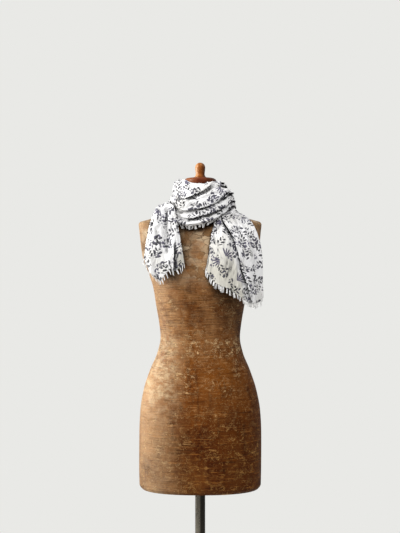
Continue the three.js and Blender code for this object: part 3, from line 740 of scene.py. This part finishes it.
class Shader:
    """A material's node tree, with short calls for the nodes that the materials use."""

    times, plus, minus, over = map(math_call, ("MULTIPLY", "ADD", "SUBTRACT", "DIVIDE"))
    larger, above, size = map(math_call, ("MAXIMUM", "GREATER_THAN", "ABSOLUTE"))
    line = math_call("MULTIPLY_ADD")  # a value times a slope, and then a start added

    def __init__(self, name, **settings):
        self.material = bpy.data.materials.new(name)
        self.material.use_nodes = True
        self.tree = self.material.node_tree
        self.surface = self.tree.nodes["Principled BSDF"]
        for socket, value in settings.items():
            self.surface.inputs[socket.replace("_", " ")].default_value = value

    def node(self, kind, inputs=(), **settings):
        """A new node, its inputs by name or by number, and its settings."""
        made = self.tree.nodes.new(kind)
        for key, value in settings.items():
            setattr(made, key, value)
        for key, value in dict(inputs).items():
            self.put(made.inputs[key], value)
        return made

    def put(self, socket, value):
        """Links a socket to another, or sets its value."""
        if isinstance(value, bpy.types.NodeSocket):
            self.tree.links.new(value, socket)
        else:
            socket.default_value = value

    def math(self, operation, *values, clamp=False):
        made = self.node(
            "ShaderNodeMath", enumerate(values), operation=operation, use_clamp=clamp)
        return made.outputs[0]

    def vector(self, operation, *values):
        made = self.node("ShaderNodeVectorMath", enumerate(values), operation=operation)
        return made.outputs[0]

    def noise(self, coordinates, scale, detail=3.0, roughness=0.5, distortion=0.0, output="Fac"):
        made = self.node("ShaderNodeTexNoise", {
            "Vector": coordinates, "Scale": scale, "Detail": detail, "Roughness": roughness,
            "Distortion": distortion})
        return made.outputs[output]

    def between(self, value, low, high):
        """0 below low, 1 above high, smooth in between. High may be the lower of the two."""
        made = self.node("ShaderNodeMapRange", {
            "Value": value, "From Min": low, "From Max": high}, interpolation_type="SMOOTHSTEP")
        return made.outputs["Result"]

    def near_half(self, value, low, high):
        """The same for how far a value is from a half."""
        return self.between(self.size(self.minus(value, 0.5)), low, high)

    def mix(self, share, a, b):
        """A colour between a and b."""
        return self.node("ShaderNodeMix", {0: share, 6: a, 7: b}, data_type="RGBA").outputs[2]

    def tint(self, colour, other, share, strength=None):
        """A colour moved towards another by a share, which a strength may weaken."""
        return self.mix(share if strength is None else self.times(share, strength), colour, other)

    def place(self):
        """Metres in the row frame."""
        return self.node("ShaderNodeTexCoord").outputs["Object"]

    def split(self, vector):
        return tuple(self.node("ShaderNodeSeparateXYZ", {0: vector}).outputs)

    def channels(self, colour):
        return tuple(self.node("ShaderNodeSeparateColor", {0: colour}).outputs)

    def stretched(self, coordinates, x, y, z):
        return self.vector("MULTIPLY", coordinates, (x, y, z))

    def wandering(self, coordinates, scale, detail, reach):
        """Coordinates moved about at random, by up to half of a reach along each axis."""
        noise = self.noise(coordinates, scale, detail, output="Color")
        shift = self.vector("SUBTRACT", noise, (0.5, 0.5, 0.5))
        return self.vector("ADD", coordinates, self.stretched(shift, *reach))

    def attribute(self, name):
        return self.node("ShaderNodeAttribute", attribute_name=name).outputs["Fac"]

    def hidden(self, reach, low, high):
        """How closely other surfaces hem a point in within a reach in metres, from 0 to 1: a share
        of painted shade.
        """
        open_share = self.node("ShaderNodeAmbientOcclusion", {"Distance": reach}, samples=8)
        return self.between(open_share.outputs["AO"], high, low)

    def bump(self, height, distance, normal=None):
        inputs = {"Height": height, "Distance": distance}
        if normal is not None:
            inputs["Normal"] = normal
        return self.node("ShaderNodeBump", inputs).outputs["Normal"]

    def finish(self, **sockets):
        for socket, value in sockets.items():
            self.put(self.surface.inputs[socket.replace("_", " ")], value)
        return self.material


def rgb(red, green, blue):
    """A colour from display values out of 255."""
    def linear(value):
        value /= 255
        return value / 12.92 if value <= 0.04045 else ((value + 0.055) / 1.055) ** 2.4

    return (linear(red), linear(green), linear(blue), 1.0)


def cell_frame(s, coordinates, pitch, scatter, size_spread):
    """Each point's place in a cell's own turned frame, in units of the pitch, and the cell's own
    random numbers."""
    cells = s.node("ShaderNodeTexVoronoi", {
        "Vector": coordinates, "Scale": 1 / pitch, "Randomness": scatter},
        voronoi_dimensions="2D")
    chance = s.channels(cells.outputs["Color"])
    local = s.vector("SUBTRACT", coordinates, cells.outputs["Position"])
    turned = s.node("ShaderNodeVectorRotate", {
        "Vector": local, "Angle": s.times(chance[0], 2 * math.pi)},
        rotation_type="Z_AXIS").outputs[0]
    x, y, _ = s.split(turned)
    unit_length = s.times(s.line(chance[1], size_spread, 1 - size_spread / 2), pitch)
    return s.over(x, unit_length), s.over(y, unit_length), chance


def sprig_mask(s, x, y, chance, half_length, gap, reach, fullness):
    """A bent stem with slanted leaves, in a cell's own frame. The gap is between leaves on one
    side, the reach is a leaf's length, and the fullness is the share of the gap that it fills."""
    stem_half_width, stem_edge = 0.014, 0.008
    leaf_slant, leaf_edge, leaf_start = 0.7, 0.05, 0.02
    bend = s.line(chance, 2.4, -1.2)
    y = s.line(s.times(x, x), bend, y)
    out = s.size(y)
    slanted = s.minus(x, s.times(out, leaf_slant))
    # Leaves on the two sides of the stem are set half a gap apart.
    turn = s.over(s.plus(slanted, s.times(s.above(y, 0), gap / 2)), gap)
    from_leaf = s.size(s.minus(s.math("FRACT", turn), 0.5))
    # Leaves grow smaller towards both ends of the stem.
    ends = s.over(s.size(x), half_length, clamp=True)
    taper = s.minus(1, s.math("POWER", ends, 4))
    along_leaf = s.over(s.minus(out, leaf_start), s.times(taper, reach), clamp=True)
    wide = s.math("SINE", s.times(along_leaf, math.pi))
    room = s.times(s.times(wide, taper), fullness / 2)
    leaf = s.between(s.minus(room, from_leaf), 0, leaf_edge)
    stem = s.between(s.minus(stem_half_width, out), 0, stem_edge)
    return s.larger(leaf, s.times(stem, s.math("LESS_THAN", ends, 0.85)))


def bloom_mask(s, x, y, petals, spread, radius):
    """A flower seen from the side: petals spread like a fan from one point."""
    from_base = s.plus(x, radius / 2)
    angle = s.math("ARCTAN2", y, from_base)
    far = s.math("SQRT", s.plus(s.math("POWER", from_base, 2), s.times(y, y)))
    whole_turns = 10  # keeps the count of petals above 0
    turn = s.line(angle, petals / (2 * spread), whole_turns + petals / 2)
    from_petal = s.size(s.minus(s.math("FRACT", turn), 0.5))
    along = s.over(far, radius, clamp=True)
    tip = s.math("SQRT", s.minus(1, s.times(along, along)))
    room = s.times(tip, s.line(along, -0.12, 0.5))
    petal = s.between(s.minus(room, from_petal), 0, 0.05)
    return s.times(petal, s.math("LESS_THAN", s.size(angle), spread))


def gauze_print(s, cloth):
    """An all-over print of indigo sprigs: where its ink is, and the ink's colour."""
    # The hand of the printer: edges wander a little.
    drawn = s.wandering(cloth, 240.0, 2.0, (0.0026, 0.0026, 0))

    # One motif to a cell, so that they never run into each other: a sprig, or a flower.
    x, y, chance = cell_frame(s, drawn, 0.03, 0.75, 0.5)
    flowering = s.above(chance[1], 0.9)
    sprigging = s.times(s.minus(1, flowering), s.above(chance[0], 0.12))
    sprigs = s.times(sprig_mask(s, x, y, chance[2], 0.5, 0.33, 0.38, 0.84), sprigging)
    flower = s.times(bloom_mask(s, x, y, 5, 0.95, 0.6), flowering)

    # Small stray leaves between them.
    second = s.vector("ADD", drawn, (0.37, 0.21, 0))
    x2, y2, chance2 = cell_frame(s, second, 0.0165, 0.9, 0.5)
    strays = sprig_mask(s, x2, y2, chance2[2], 0.4, 0.48, 0.5, 0.8)
    strays = s.times(strays, s.above(chance2[1], 0.5))

    ink = s.larger(s.larger(sprigs, strays), flower)
    worn = s.between(s.noise(cloth, 700.0, 2.0), 0.3, 0.62)
    ink = s.times(ink, s.line(worn, 0.16, 0.84))
    shade = s.mix(chance[2], rgb(16, 16, 22), rgb(44, 43, 60))
    shade = s.tint(shade, rgb(96, 93, 116), strays, chance2[2])
    return ink, s.tint(shade, rgb(58, 52, 88), flower)


def gauze_relief(s, cloth):
    """The crinkle between the large creases, and the weave's warp and weft."""
    crinkled = s.noise(s.stretched(cloth, 0.35, 1, 1), 300.0, 3.0, 0.6, 0.6)
    warp, weft = (
        s.node("ShaderNodeTexWave", {
            "Vector": cloth, "Scale": scale, "Distortion": 1.5, "Detail Scale": 1.5},
            bands_direction=way).outputs["Fac"]
        for way, scale in (("X", 400.0), ("Y", 360.0)))
    return s.bump(s.plus(warp, weft), 0.00005, s.bump(crinkled, 0.0018))


def gauze_material():
    """White crinkled cotton gauze with an all-over print of indigo sprigs."""
    s = Shader("gauze", Roughness=0.92, Sheen_Weight=0.15, Sheen_Roughness=0.6,
               Specular_IOR_Level=0.2)
    cloth = s.node("ShaderNodeUVMap", uv_map="cloth").outputs[0]
    warm = s.between(s.noise(cloth, 14.0, 3.0), 0.42, 0.7)
    ground = s.mix(warm, rgb(243, 243, 245), rgb(233, 232, 230))
    ground = s.tint(ground, rgb(204, 201, 190), s.attribute("sheer"), 0.85)
    ink, shade = gauze_print(s, cloth)
    colour = s.tint(ground, shade, ink)

    # Painted shade: dark lines where the cloth folds under itself or lies beside another edge, from
    # the crevice marks and from how closely other surfaces hem the cloth in.
    streaks = s.between(s.noise(s.stretched(cloth, 0.3, 1, 1), 90.0, 3.0), 0.2, 0.6)
    crevice_shade = s.times(s.attribute("crevice_shade"), s.line(streaks, 0.4, 0.55))
    deep = s.larger(s.hidden(0.01, 0.55, 0.94), crevice_shade)
    colour = s.tint(colour, rgb(24, 24, 30), deep, 0.95)
    return s.finish(Base_Color=colour, Normal=gauze_relief(s, cloth))


def thread_material():
    """Loose white cotton threads."""
    s = Shader("gauze_thread", Roughness=0.9, Sheen_Weight=0.5)
    grey = s.between(s.noise(s.place(), 300.0, 2.0), 0.35, 0.75)
    return s.finish(Base_Color=s.mix(grey, rgb(253, 253, 252), rgb(222, 221, 223)))


def form_places(s):
    """What the layers of the form's colour share: where a point is, in metres, its level above
    the lower edge, how far it is above the waist, from 0 to 1, and some noises."""
    at = SimpleNamespace(place=s.place())
    at.side, at.front, height = s.split(at.place)
    at.level = s.minus(height, FORM_BOTTOM * MM)
    at.upper = s.between(at.level, 0.3, 0.42)
    at.broad = s.noise(s.stretched(at.place, 1, 1, 0.6), 8.0, 4.0, 0.6)
    at.mottle = s.noise(at.place, 110.0, 4.0, 0.7, 0.3)
    # Brush strokes run round the body.
    at.strokes = s.noise(s.stretched(at.place, 14, 14, 190), 1.6, 4.0, 0.65)
    # Painted light: the side that the light comes from is painted paler, in broad patches.
    at.faded = s.times(s.between(at.side, -0.02, -0.15), s.between(at.broad, 0.25, 0.6))
    return at


def varnish(s, at):
    """The brown varnish itself, mottled and streaked."""
    colour = s.mix(s.between(at.broad, 0.34, 0.66), rgb(84, 38, 3), rgb(136, 78, 22))
    upright = s.noise(s.stretched(at.place, 1, 1, 0.25), 60.0, 4.0, 0.65)
    colour = s.tint(colour, rgb(54, 21, 2), s.between(upright, 0.5, 0.68), 0.6)
    return s.tint(colour, rgb(160, 100, 46), s.between(at.mottle, 0.52, 0.66), 0.5)


def thinned_and_side_lit(s, at, colour):
    """The varnish is thinner above the waist. Painted light and shade: paler on the lit side, and
    darkest on the side away from the light.
    """
    colour = s.tint(colour, rgb(62, 26, 2), s.between(at.level, 0.27, 0.03), 0.5)
    lit = s.between(at.side, 0.04, -0.13)
    thin = s.between(s.noise(s.stretched(at.place, 1, 1, 0.4), 24.0, 4.0, 0.65), 0.4, 0.62)
    thin_share = s.plus(s.times(at.upper, 0.4), s.line(lit, 0.32, 0.07))
    colour = s.tint(colour, rgb(192, 144, 94), thin, thin_share)
    colour = s.tint(colour, rgb(160, 106, 60), at.upper, 0.3)
    stains = s.between(s.noise(s.stretched(at.place, 1, 1, 1.5), 26.0, 4.0, 0.6), 0.5, 0.66)
    colour = s.tint(colour, rgb(66, 30, 8), stains, s.line(at.upper, 0.25, 0.2))
    # Painted shade on the side away from the light.
    return s.tint(colour, rgb(54, 24, 2), s.between(at.side, 0.0, 0.13), 0.4)


def faded_side(s, at, colour):
    """Painted light: the side that the light comes from is paler, and on that side the waist and the
    hip beneath it are paler still, partly wear and partly painted highlight.
    """
    colour = s.tint(colour, rgb(206, 166, 124), at.faded, 0.55)
    # Worn patches at the waist and hip, kept to the lit side as a painted highlight.
    worn_and_highlit = s.between(s.noise(s.stretched(at.place, 1, 1, 1.6), 40.0, 5.0, 0.7), 0.36, 0.7)
    worn_and_highlit = s.times(worn_and_highlit, s.between(at.side, -0.03, -0.1))
    handled = s.times(s.between(at.level, 0.18, 0.26), s.between(at.level, 0.42, 0.38))
    return s.tint(colour, rgb(232, 206, 166), worn_and_highlit, s.line(handled, 0.6, 0.15))


def brushed(s, at, colour):
    """Dark and pale brush strokes, with fine scratches, all round the body."""
    dark_lines = s.between(at.strokes, 0.54, 0.68)
    # The dark strokes are weaker on the side painted paler for the light.
    colour = s.tint(colour, rgb(46, 19, 3), dark_lines, s.line(at.faded, -0.3, 0.6))
    rings = s.noise(s.stretched(at.place, 9, 9, 330), 1.9, 3.0, 0.6)
    rings = s.between(rings, 0.55, 0.64)
    colour = s.tint(colour, rgb(58, 28, 10), rings, s.line(at.upper, 0.35, 0.25))
    pale_lines = s.between(at.strokes, 0.42, 0.33)
    return s.tint(colour, rgb(188, 136, 84), pale_lines, s.line(at.upper, 0.2, 0.5))


def scratched(s, at, colour):
    """Curling hairline scratches, chips and specks where the varnish has gone, most of all at the
    waist. Gives the colour, and where the paper is bare."""
    waist = s.times(s.between(at.level, 0.33, 0.355), s.between(at.level, 0.405, 0.38))
    patches = s.between(s.noise(at.place, 13.0, 3.0, 0.55), 0.44, 0.64)
    patches = s.larger(s.line(patches, 0.6, 0.3), waist)
    hair = s.near_half(s.noise(at.place, 52.0, 2.0, 0.5, 2.0), 0.024, 0.008)
    level_curls = s.noise(s.stretched(at.place, 12, 12, 70), 1.3, 2.0, 0.5, 0.6)
    hair = s.larger(hair, s.near_half(level_curls, 0.016, 0.006))
    belt = s.noise(s.stretched(at.place, 9, 9, 40), 2.2, 2.0, 0.5, 1.6)
    hair = s.larger(hair, s.times(s.near_half(belt, 0.024, 0.01), waist))
    broken = s.between(s.noise(at.place, 70.0, 2.0), 0.48, 0.56)
    hair = s.times(s.times(hair, broken), patches)
    chips = s.between(s.noise(at.place, 230.0, 3.0, 0.7, 1.0), 0.58, 0.66)
    bare = s.larger(hair, s.times(chips, s.times(patches, 0.8)))
    specks = s.between(s.noise(at.place, 420.0, 2.0, 0.6), 0.66, 0.73)
    bare = s.larger(bare, s.times(specks, 0.6))
    return s.tint(colour, rgb(226, 188, 138), bare, s.line(waist, 0.15, 0.75)), bare


def crazed_chest(s, at, colour):
    """The chest's paper is paler and has crazed into soft patches. Gives the colour, and where
    the cracks are."""
    crazed_at = s.wandering(at.place, 70.0, 3.0, (0.02, 0.02, 0.02))
    cells = {"Vector": crazed_at, "Scale": 50.0}
    edges = s.node("ShaderNodeTexVoronoi", cells, feature="DISTANCE_TO_EDGE")
    tints = s.node("ShaderNodeTexVoronoi", cells)
    chest = s.times(s.between(at.level, 0.5, 0.58), s.between(at.front, 0.0, -0.05))
    uneven = s.between(s.noise(at.place, 24.0, 3.0), 0.35, 0.6)
    chance = s.channels(tints.outputs["Color"])[0]
    pale = s.mix(chance, rgb(138, 110, 78), rgb(224, 200, 166))
    colour = s.tint(colour, pale, chest, s.line(uneven, 0.48, 0.24))
    cracked = s.times(chest, s.times(s.between(edges.outputs["Distance"], 0.06, 0.0), uneven))
    return s.tint(colour, rgb(74, 44, 20), cracked, 0.7), cracked


def papier_mache_material():
    """Old brown varnished paper layers: mottled, brushed round, scratched, flecked and crazed."""
    s = Shader("papier_mache", Coat_Weight=0.02, Coat_Roughness=0.35, Specular_IOR_Level=0.1)
    at = form_places(s)
    colour = varnish(s, at)
    colour = thinned_and_side_lit(s, at, colour)
    colour = faded_side(s, at, colour)
    colour = brushed(s, at, colour)
    colour, bare = scratched(s, at, colour)
    colour, cracked = crazed_chest(s, at, colour)
    # Lower down the varnish is thicker and warmer, but not on the side painted paler for the light.
    thick = s.times(s.between(at.level, 0.36, 0.08), s.between(at.side, -0.1, -0.01))
    colour = s.tint(colour, s.vector("MULTIPLY", colour, (0.86, 0.69, 0.4)), thick)
    # Painted shade: darker where the cloth and other surfaces hem the form in.
    colour = s.tint(colour, rgb(30, 15, 6), s.hidden(0.08, 0.5, 0.96), 0.9)

    relief = s.plus(s.times(at.strokes, 0.7), s.times(at.mottle, 0.7))
    relief = s.minus(s.minus(relief, s.times(bare, 0.3)), s.times(cracked, 0.5))
    rough = s.line(at.mottle, 0.3, 0.32)
    return s.finish(Base_Color=colour, Roughness=rough, Normal=s.bump(relief, 0.0028))


def wood_material(name, radius, dark, light, worn_and_lit_colour):
    """Turned wood under old varnish, its grain round the piece. The radius is in metres."""
    s = Shader(name, Coat_Weight=0.2, Coat_Roughness=0.3, Specular_IOR_Level=0.15)
    place = s.place()
    grain = s.noise(s.stretched(place, 10, 60, 12), 2.6, 5.0, 0.62, 0.5)
    lines = s.noise(s.stretched(place, 3, 3, 260), 1.5, 2.0)
    colour = s.mix(s.between(grain, 0.3, 0.7), dark, light)
    colour = s.tint(colour, rgb(70, 28, 8), s.between(lines, 0.52, 0.7), 0.45)
    worn = s.between(s.noise(place, 70.0, 3.0, 0.6), 0.56, 0.7)
    colour = s.tint(colour, worn_and_lit_colour, worn, 0.5)
    # Painted shade and highlight: like the form, it is darkest on the side away from the light, and
    # the worn colour is painted over the lit side.
    side = s.over(s.split(place)[0], radius)
    colour = s.tint(colour, rgb(46, 17, 4), s.between(side, -0.1, 0.8), 0.75)
    colour = s.tint(colour, worn_and_lit_colour, s.between(side, -0.2, -0.8), 0.5)
    rough = s.line(grain, 0.25, 0.28)
    return s.finish(Base_Color=colour, Roughness=rough, Normal=s.bump(lines, 0.0003))


def iron_material(name, base, edge, roughness, metallic, stained=0.0):
    """Dark iron or steel with a fine surface and worn lighter places. A share of its side away
    from the light may be painted dark, as painted shade."""
    s = Shader(name, Metallic=metallic)
    place = s.place()
    wear = s.between(s.noise(place, 45.0, 5.0, 0.65), 0.5, 0.72)
    colour = s.tint(base, edge, wear, 0.55)
    # Painted shade: the side away from the light is darkened by a share.
    stain = s.between(s.split(place)[0], -0.002, 0.002)
    colour = s.tint(colour, rgb(24, 23, 19), stain, stained)
    rough = s.line(wear, -0.14, roughness)
    fine = s.noise(place, 700.0, 2.0)
    return s.finish(Base_Color=colour, Roughness=rough, Normal=s.bump(fine, 0.0002))


# -------- the form and its stand


def form_levels():
    """Heights to cut the form at: closer together at its lower edge and its shoulders."""
    return np.concatenate([
        [0, 0.6, 2, 4.5, 8], np.linspace(16, 670, 110), np.linspace(674, 716, 26),
        np.linspace(719, NECK_TOP, 22)])


def form_rings(heights, turns):
    """The form's level sections at some heights, each with a point at every turn."""
    half_width, front, back, square = form_section(heights)
    c, s = np.cos(turns)[None, :], np.sin(turns)[None, :]
    power = (2 / square)[:, None]
    x = half_width[:, None] * np.sign(c) * np.abs(c) ** power
    depth = np.where(s < 0, front[:, None], back[:, None])
    y = depth * np.sign(s) * np.abs(s) ** power
    z = np.repeat(heights[:, None], len(turns), axis=1)
    rings = np.stack([x, y, z], axis=-1)
    # Hand-laid paper is never quite true. It stays inside the solid, and its edge is even.
    usual_radius, least_inset, edge_height = 150, 0.5, 20
    level = heights[:, None]
    wave = 0.35 * np.sin(3 * turns + level / 61) + 0.3 * np.sin(7 * turns - level / 37)
    wave = wave * np.clip(heights / edge_height, 0, 1)[:, None]
    rings[..., :2] *= (1 - (least_inset - wave) / usual_radius)[..., None]
    return rings


def form_object(material):
    """The limbless form, finer than its solid, with a rolled lower edge and a closed underside."""
    sides = 144
    turns = np.linspace(0, 2 * math.pi, sides, endpoint=False)
    rings = form_rings(form_levels(), turns)
    # The underside steps in to the pole.
    rim = 1 - np.array([0.0, 0.5, 0.86])
    under = rings[0][None] * np.stack([rim, rim, np.ones(3)], axis=-1)[:, None, :]
    under[1:, :, 2] = 1.5
    everything = np.concatenate([under[::-1], rings[1:]])
    faces = capped_faces(len(everything), sides)
    obj = mesh_object("papier_mache_form", everything.reshape(-1, 3), faces, material)
    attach(obj, "root")
    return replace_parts(obj, "form_body")


def extent(node):
    """A turned node's radius, and the levels of its two ends above the form's bottom edge."""
    low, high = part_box(node)
    return high.x / MM, low.z / MM - FORM_BOTTOM, high.z / MM - FORM_BOTTOM


def cap_and_knob():
    """The turned wooden disc on the neck, and the knob on it."""
    dark_wood = wood_material(
        "cap_wood", 0.042, rgb(92, 38, 16), rgb(140, 74, 40), rgb(168, 108, 66))
    pale_wood = wood_material(
        "knob_wood", 0.0132, rgb(116, 58, 16), rgb(168, 100, 42), rgb(236, 182, 126))
    radius, base, top = extent("neck_cap")
    tall = top - base
    outline = rounded([
        (AXIS, 0), (radius - 2, 0), (radius, 2.2), (radius, tall - 6), (radius - 6, tall - 1.6),
        (20, tall), (AXIS, tall)], 3.2)
    turned_object("turned_neck_cap", "neck_cap", outline, dark_wood, 96, base)

    flare, base, top = extent("cap_knob")
    tall = top - base
    head, waist = 13.2, 11.4
    crown = [(head * math.cos(t), tall - head + head * math.sin(t))
             for t in np.linspace(0, math.pi / 2 - 0.06, 12)]
    outline = rounded([
        (AXIS, 0), (flare, 0), (flare, 1.4), (flare - 2.2, 2.6), (waist + 1, 4.6), (waist, 9),
        (waist + 0.7, 15), (head - 0.6, 20)], 2.4) + crown
    turned_object("turned_knob", "cap_knob", outline, pale_wood, 64, base)


def stand():
    """The steel pole and the round iron foot."""
    steel = iron_material("pole_steel", rgb(136, 130, 118), rgb(160, 154, 140), 0.3, 0.8, 0.85)
    iron = iron_material("foot_iron", rgb(40, 39, 36), rgb(82, 79, 72), 0.55, 0.6)
    radius, bottom, top = extent("pole")
    outline = rounded([(AXIS, bottom), (radius, bottom), (radius, top), (AXIS, top)], 1.0)
    turned_object("steel_pole", "pole", outline, steel, 64)

    wide, base, foot_top = extent("foot")
    tall = foot_top - base
    hub, rim, plate = 24, 7, 12
    bore, bore_floor = radius + RUNNING_GAP, bottom - base - RUNNING_GAP
    outline = rounded([
        (AXIS, 0), (wide, 0), (wide, rim), (wide - 8, plate), (hub + 22, plate + 5),
        (hub + 6, plate + 12), (hub, plate + 20), (hub, tall - 2), (hub - 2, tall), (bore, tall),
        (bore, bore_floor), (AXIS, bore_floor)], 1.6)
    turned_object("iron_foot", "foot", outline, iron, 128, base)


# -------- the stole


def stole_fringes(grids):
    """The loose threads of each fringed stretch, by its name."""
    thread = thread_material()
    edges = {
        # length, seed, edge
        "left_tail": (13.0, 21, grids["left_tail"].edge_down()),
        "right_tail": (14.0, 22, grids["right_tail"].edge_down()),
        "front_wrap": (9.5, 23, grids["front_wrap"].edge_foot(1.4, 5.0)),
        "back_wrap": (8.5, 24, grids["back_wrap"].edge_foot(7.5, 10.4)),
    }
    return {
        name: fringe_object("threads_" + name, edge, length, thread, seed)
        for name, (length, seed, edge) in edges.items()}


def stole():
    """The gauze in the five stretches that show, each with its fringe."""
    long_stretch = Stretch(
        round_the_neck(WOUND) + LEFT_FALL, named_folds(WOUND_FOLDS + WOUND_PLEATS, WOUND_CREASES),
        LONG_WIDTH, outward=1, middle=4.0, seed=3)
    short_stretch = Stretch(
        round_the_neck(TUCKED) + RIGHT_FALL, named_folds(TUCKED_FOLDS, TUCKED_CREASES),
        SHORT_WIDTH, outward=-1, middle=8.0, seed=5)
    grids = {
        "front_wrap": Grid(long_stretch, 0, 7, 250),
        "back_wrap": Grid(long_stretch, 7, 11.5, 150),
        "left_tail": Grid(long_stretch, 11.5, LEFT_HEM, 190),
        "inner_wrap": Grid(short_stretch, 0.02, 3.6, 90),
        "right_tail": Grid(short_stretch, 3.6, RIGHT_HEM, 220),
    }
    grids["front_wrap"].shade_beside(grids["left_tail"].points[:, 0], 7.0)
    grids["right_tail"].shade_beside(grids["front_wrap"].points[:, -1], 4.0)
    grids["right_tail"].thin_above(short_stretch, short_stretch.folds[1], 7.5)
    grids["left_tail"].thin_above(long_stretch, long_stretch.folds[9], 15.5)
    fringes = stole_fringes(grids)
    gauze = gauze_material()
    # Each stretch as a shell, with its print laid out in metres on the cloth laid flat, gathers and
    # all.
    for name, made in grids.items():
        obj = cloth_object("gauze_" + name, made, gauze)
        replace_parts(obj, "stole_" + name)
        if name in fringes:
            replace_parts(fringes[name], "fringe_" + name)


# -------- the stage


def area_light(name, place, target, size, power, colour, glossy=True):
    """A round lamp that doesn't show itself."""
    data = bpy.data.lights.new(name, "AREA")
    data.shape, data.size = "DISK", size
    data.energy, data.color = power, colour
    lamp = bpy.data.objects.new(name, data)
    lamp.location = place
    lamp.visible_camera, lamp.visible_glossy = False, glossy
    way = Vector(target) - lamp.location
    lamp.rotation_euler = way.to_track_quat("-Z", "Y").to_euler()
    bpy.context.scene.collection.objects.link(lamp)


def stage_camera():
    """The camera, level, at the height of the loop's lower part."""
    eye_height, distance, aside = FORM_BOTTOM * MM + 0.572, 2.6, -0.0005
    camera = bpy.data.objects.new("camera", bpy.data.cameras.new("camera"))
    camera.data.sensor_width = 36
    camera.data.lens = 67.5
    camera.location = (aside, -distance, eye_height)
    camera.rotation_euler = (math.pi / 2, 0, 0)
    bpy.context.scene.collection.objects.link(camera)
    bpy.context.scene.camera = camera


def stage_room():
    """A plain pale backdrop, in a room that gives more light from above than from below."""
    low, high = (-0.6, 0.12), (0.8, 0.46)  # the sine of the height, and the light there
    world = bpy.data.worlds.new("pale_room")
    world.use_nodes = True
    nodes, link = world.node_tree.nodes, world.node_tree.links.new
    shown, lighting = nodes["Background"], nodes.new("ShaderNodeBackground")
    shown.inputs["Color"].default_value = rgb(233, 233, 230)
    lighting.inputs["Color"].default_value = (1.0, 0.995, 0.98, 1.0)
    height, fade = nodes.new("ShaderNodeSeparateXYZ"), nodes.new("ShaderNodeMapRange")
    for end, (sine, light) in (("Min", low), ("Max", high)):
        fade.inputs["From " + end].default_value = sine
        fade.inputs["To " + end].default_value = light
    link(nodes.new("ShaderNodeTexCoord").outputs["Generated"], height.inputs[0])
    link(height.outputs["Z"], fade.inputs["Value"])
    link(fade.outputs[0], lighting.inputs["Strength"])
    pick = nodes.new("ShaderNodeMixShader")
    link(nodes.new("ShaderNodeLightPath").outputs["Is Camera Ray"], pick.inputs[0])
    link(lighting.outputs[0], pick.inputs[1])
    link(shown.outputs[0], pick.inputs[2])
    link(pick.outputs[0], nodes["World Output"].inputs[0])
    bpy.context.scene.world = world
    bpy.context.scene.view_settings.view_transform = "Standard"


def stage_floor():
    """A plain pale round floor."""
    s = Shader("floor", Roughness=0.8)
    tone = s.mix(s.noise(s.place(), 3.0, 3.0), rgb(204, 204, 200), rgb(214, 214, 210))
    radius, sides = 1000, 96
    turns = np.linspace(0, 2 * math.pi, sides, endpoint=False)
    ring = [(radius * math.cos(t), radius * math.sin(t), -FORM_BOTTOM) for t in turns]
    mesh_object("floor", ring, [list(range(sides))], s.finish(Base_Color=tone))


def stage():
    """The camera, the room, soft light from the left, and the floor."""
    stage_camera()
    stage_room()
    area_light("window", (-2.65, -0.8, 2.2), (0, 0, 0.95), 1.3, 68, (1.0, 0.985, 0.95))
    area_light("window_edge", (-2.3, 0.75, 1.0), (0, 0, 0.85), 1.2, 50, (1.0, 0.98, 0.95))
    area_light("fill", (0.3, -1.7, 2.5), (0, 0, 1.1), 1.1, 34, (1.0, 0.99, 0.97), glossy=False)
    stage_floor()


stage()
form_object(papier_mache_material())
cap_and_knob()
stand()
stole()
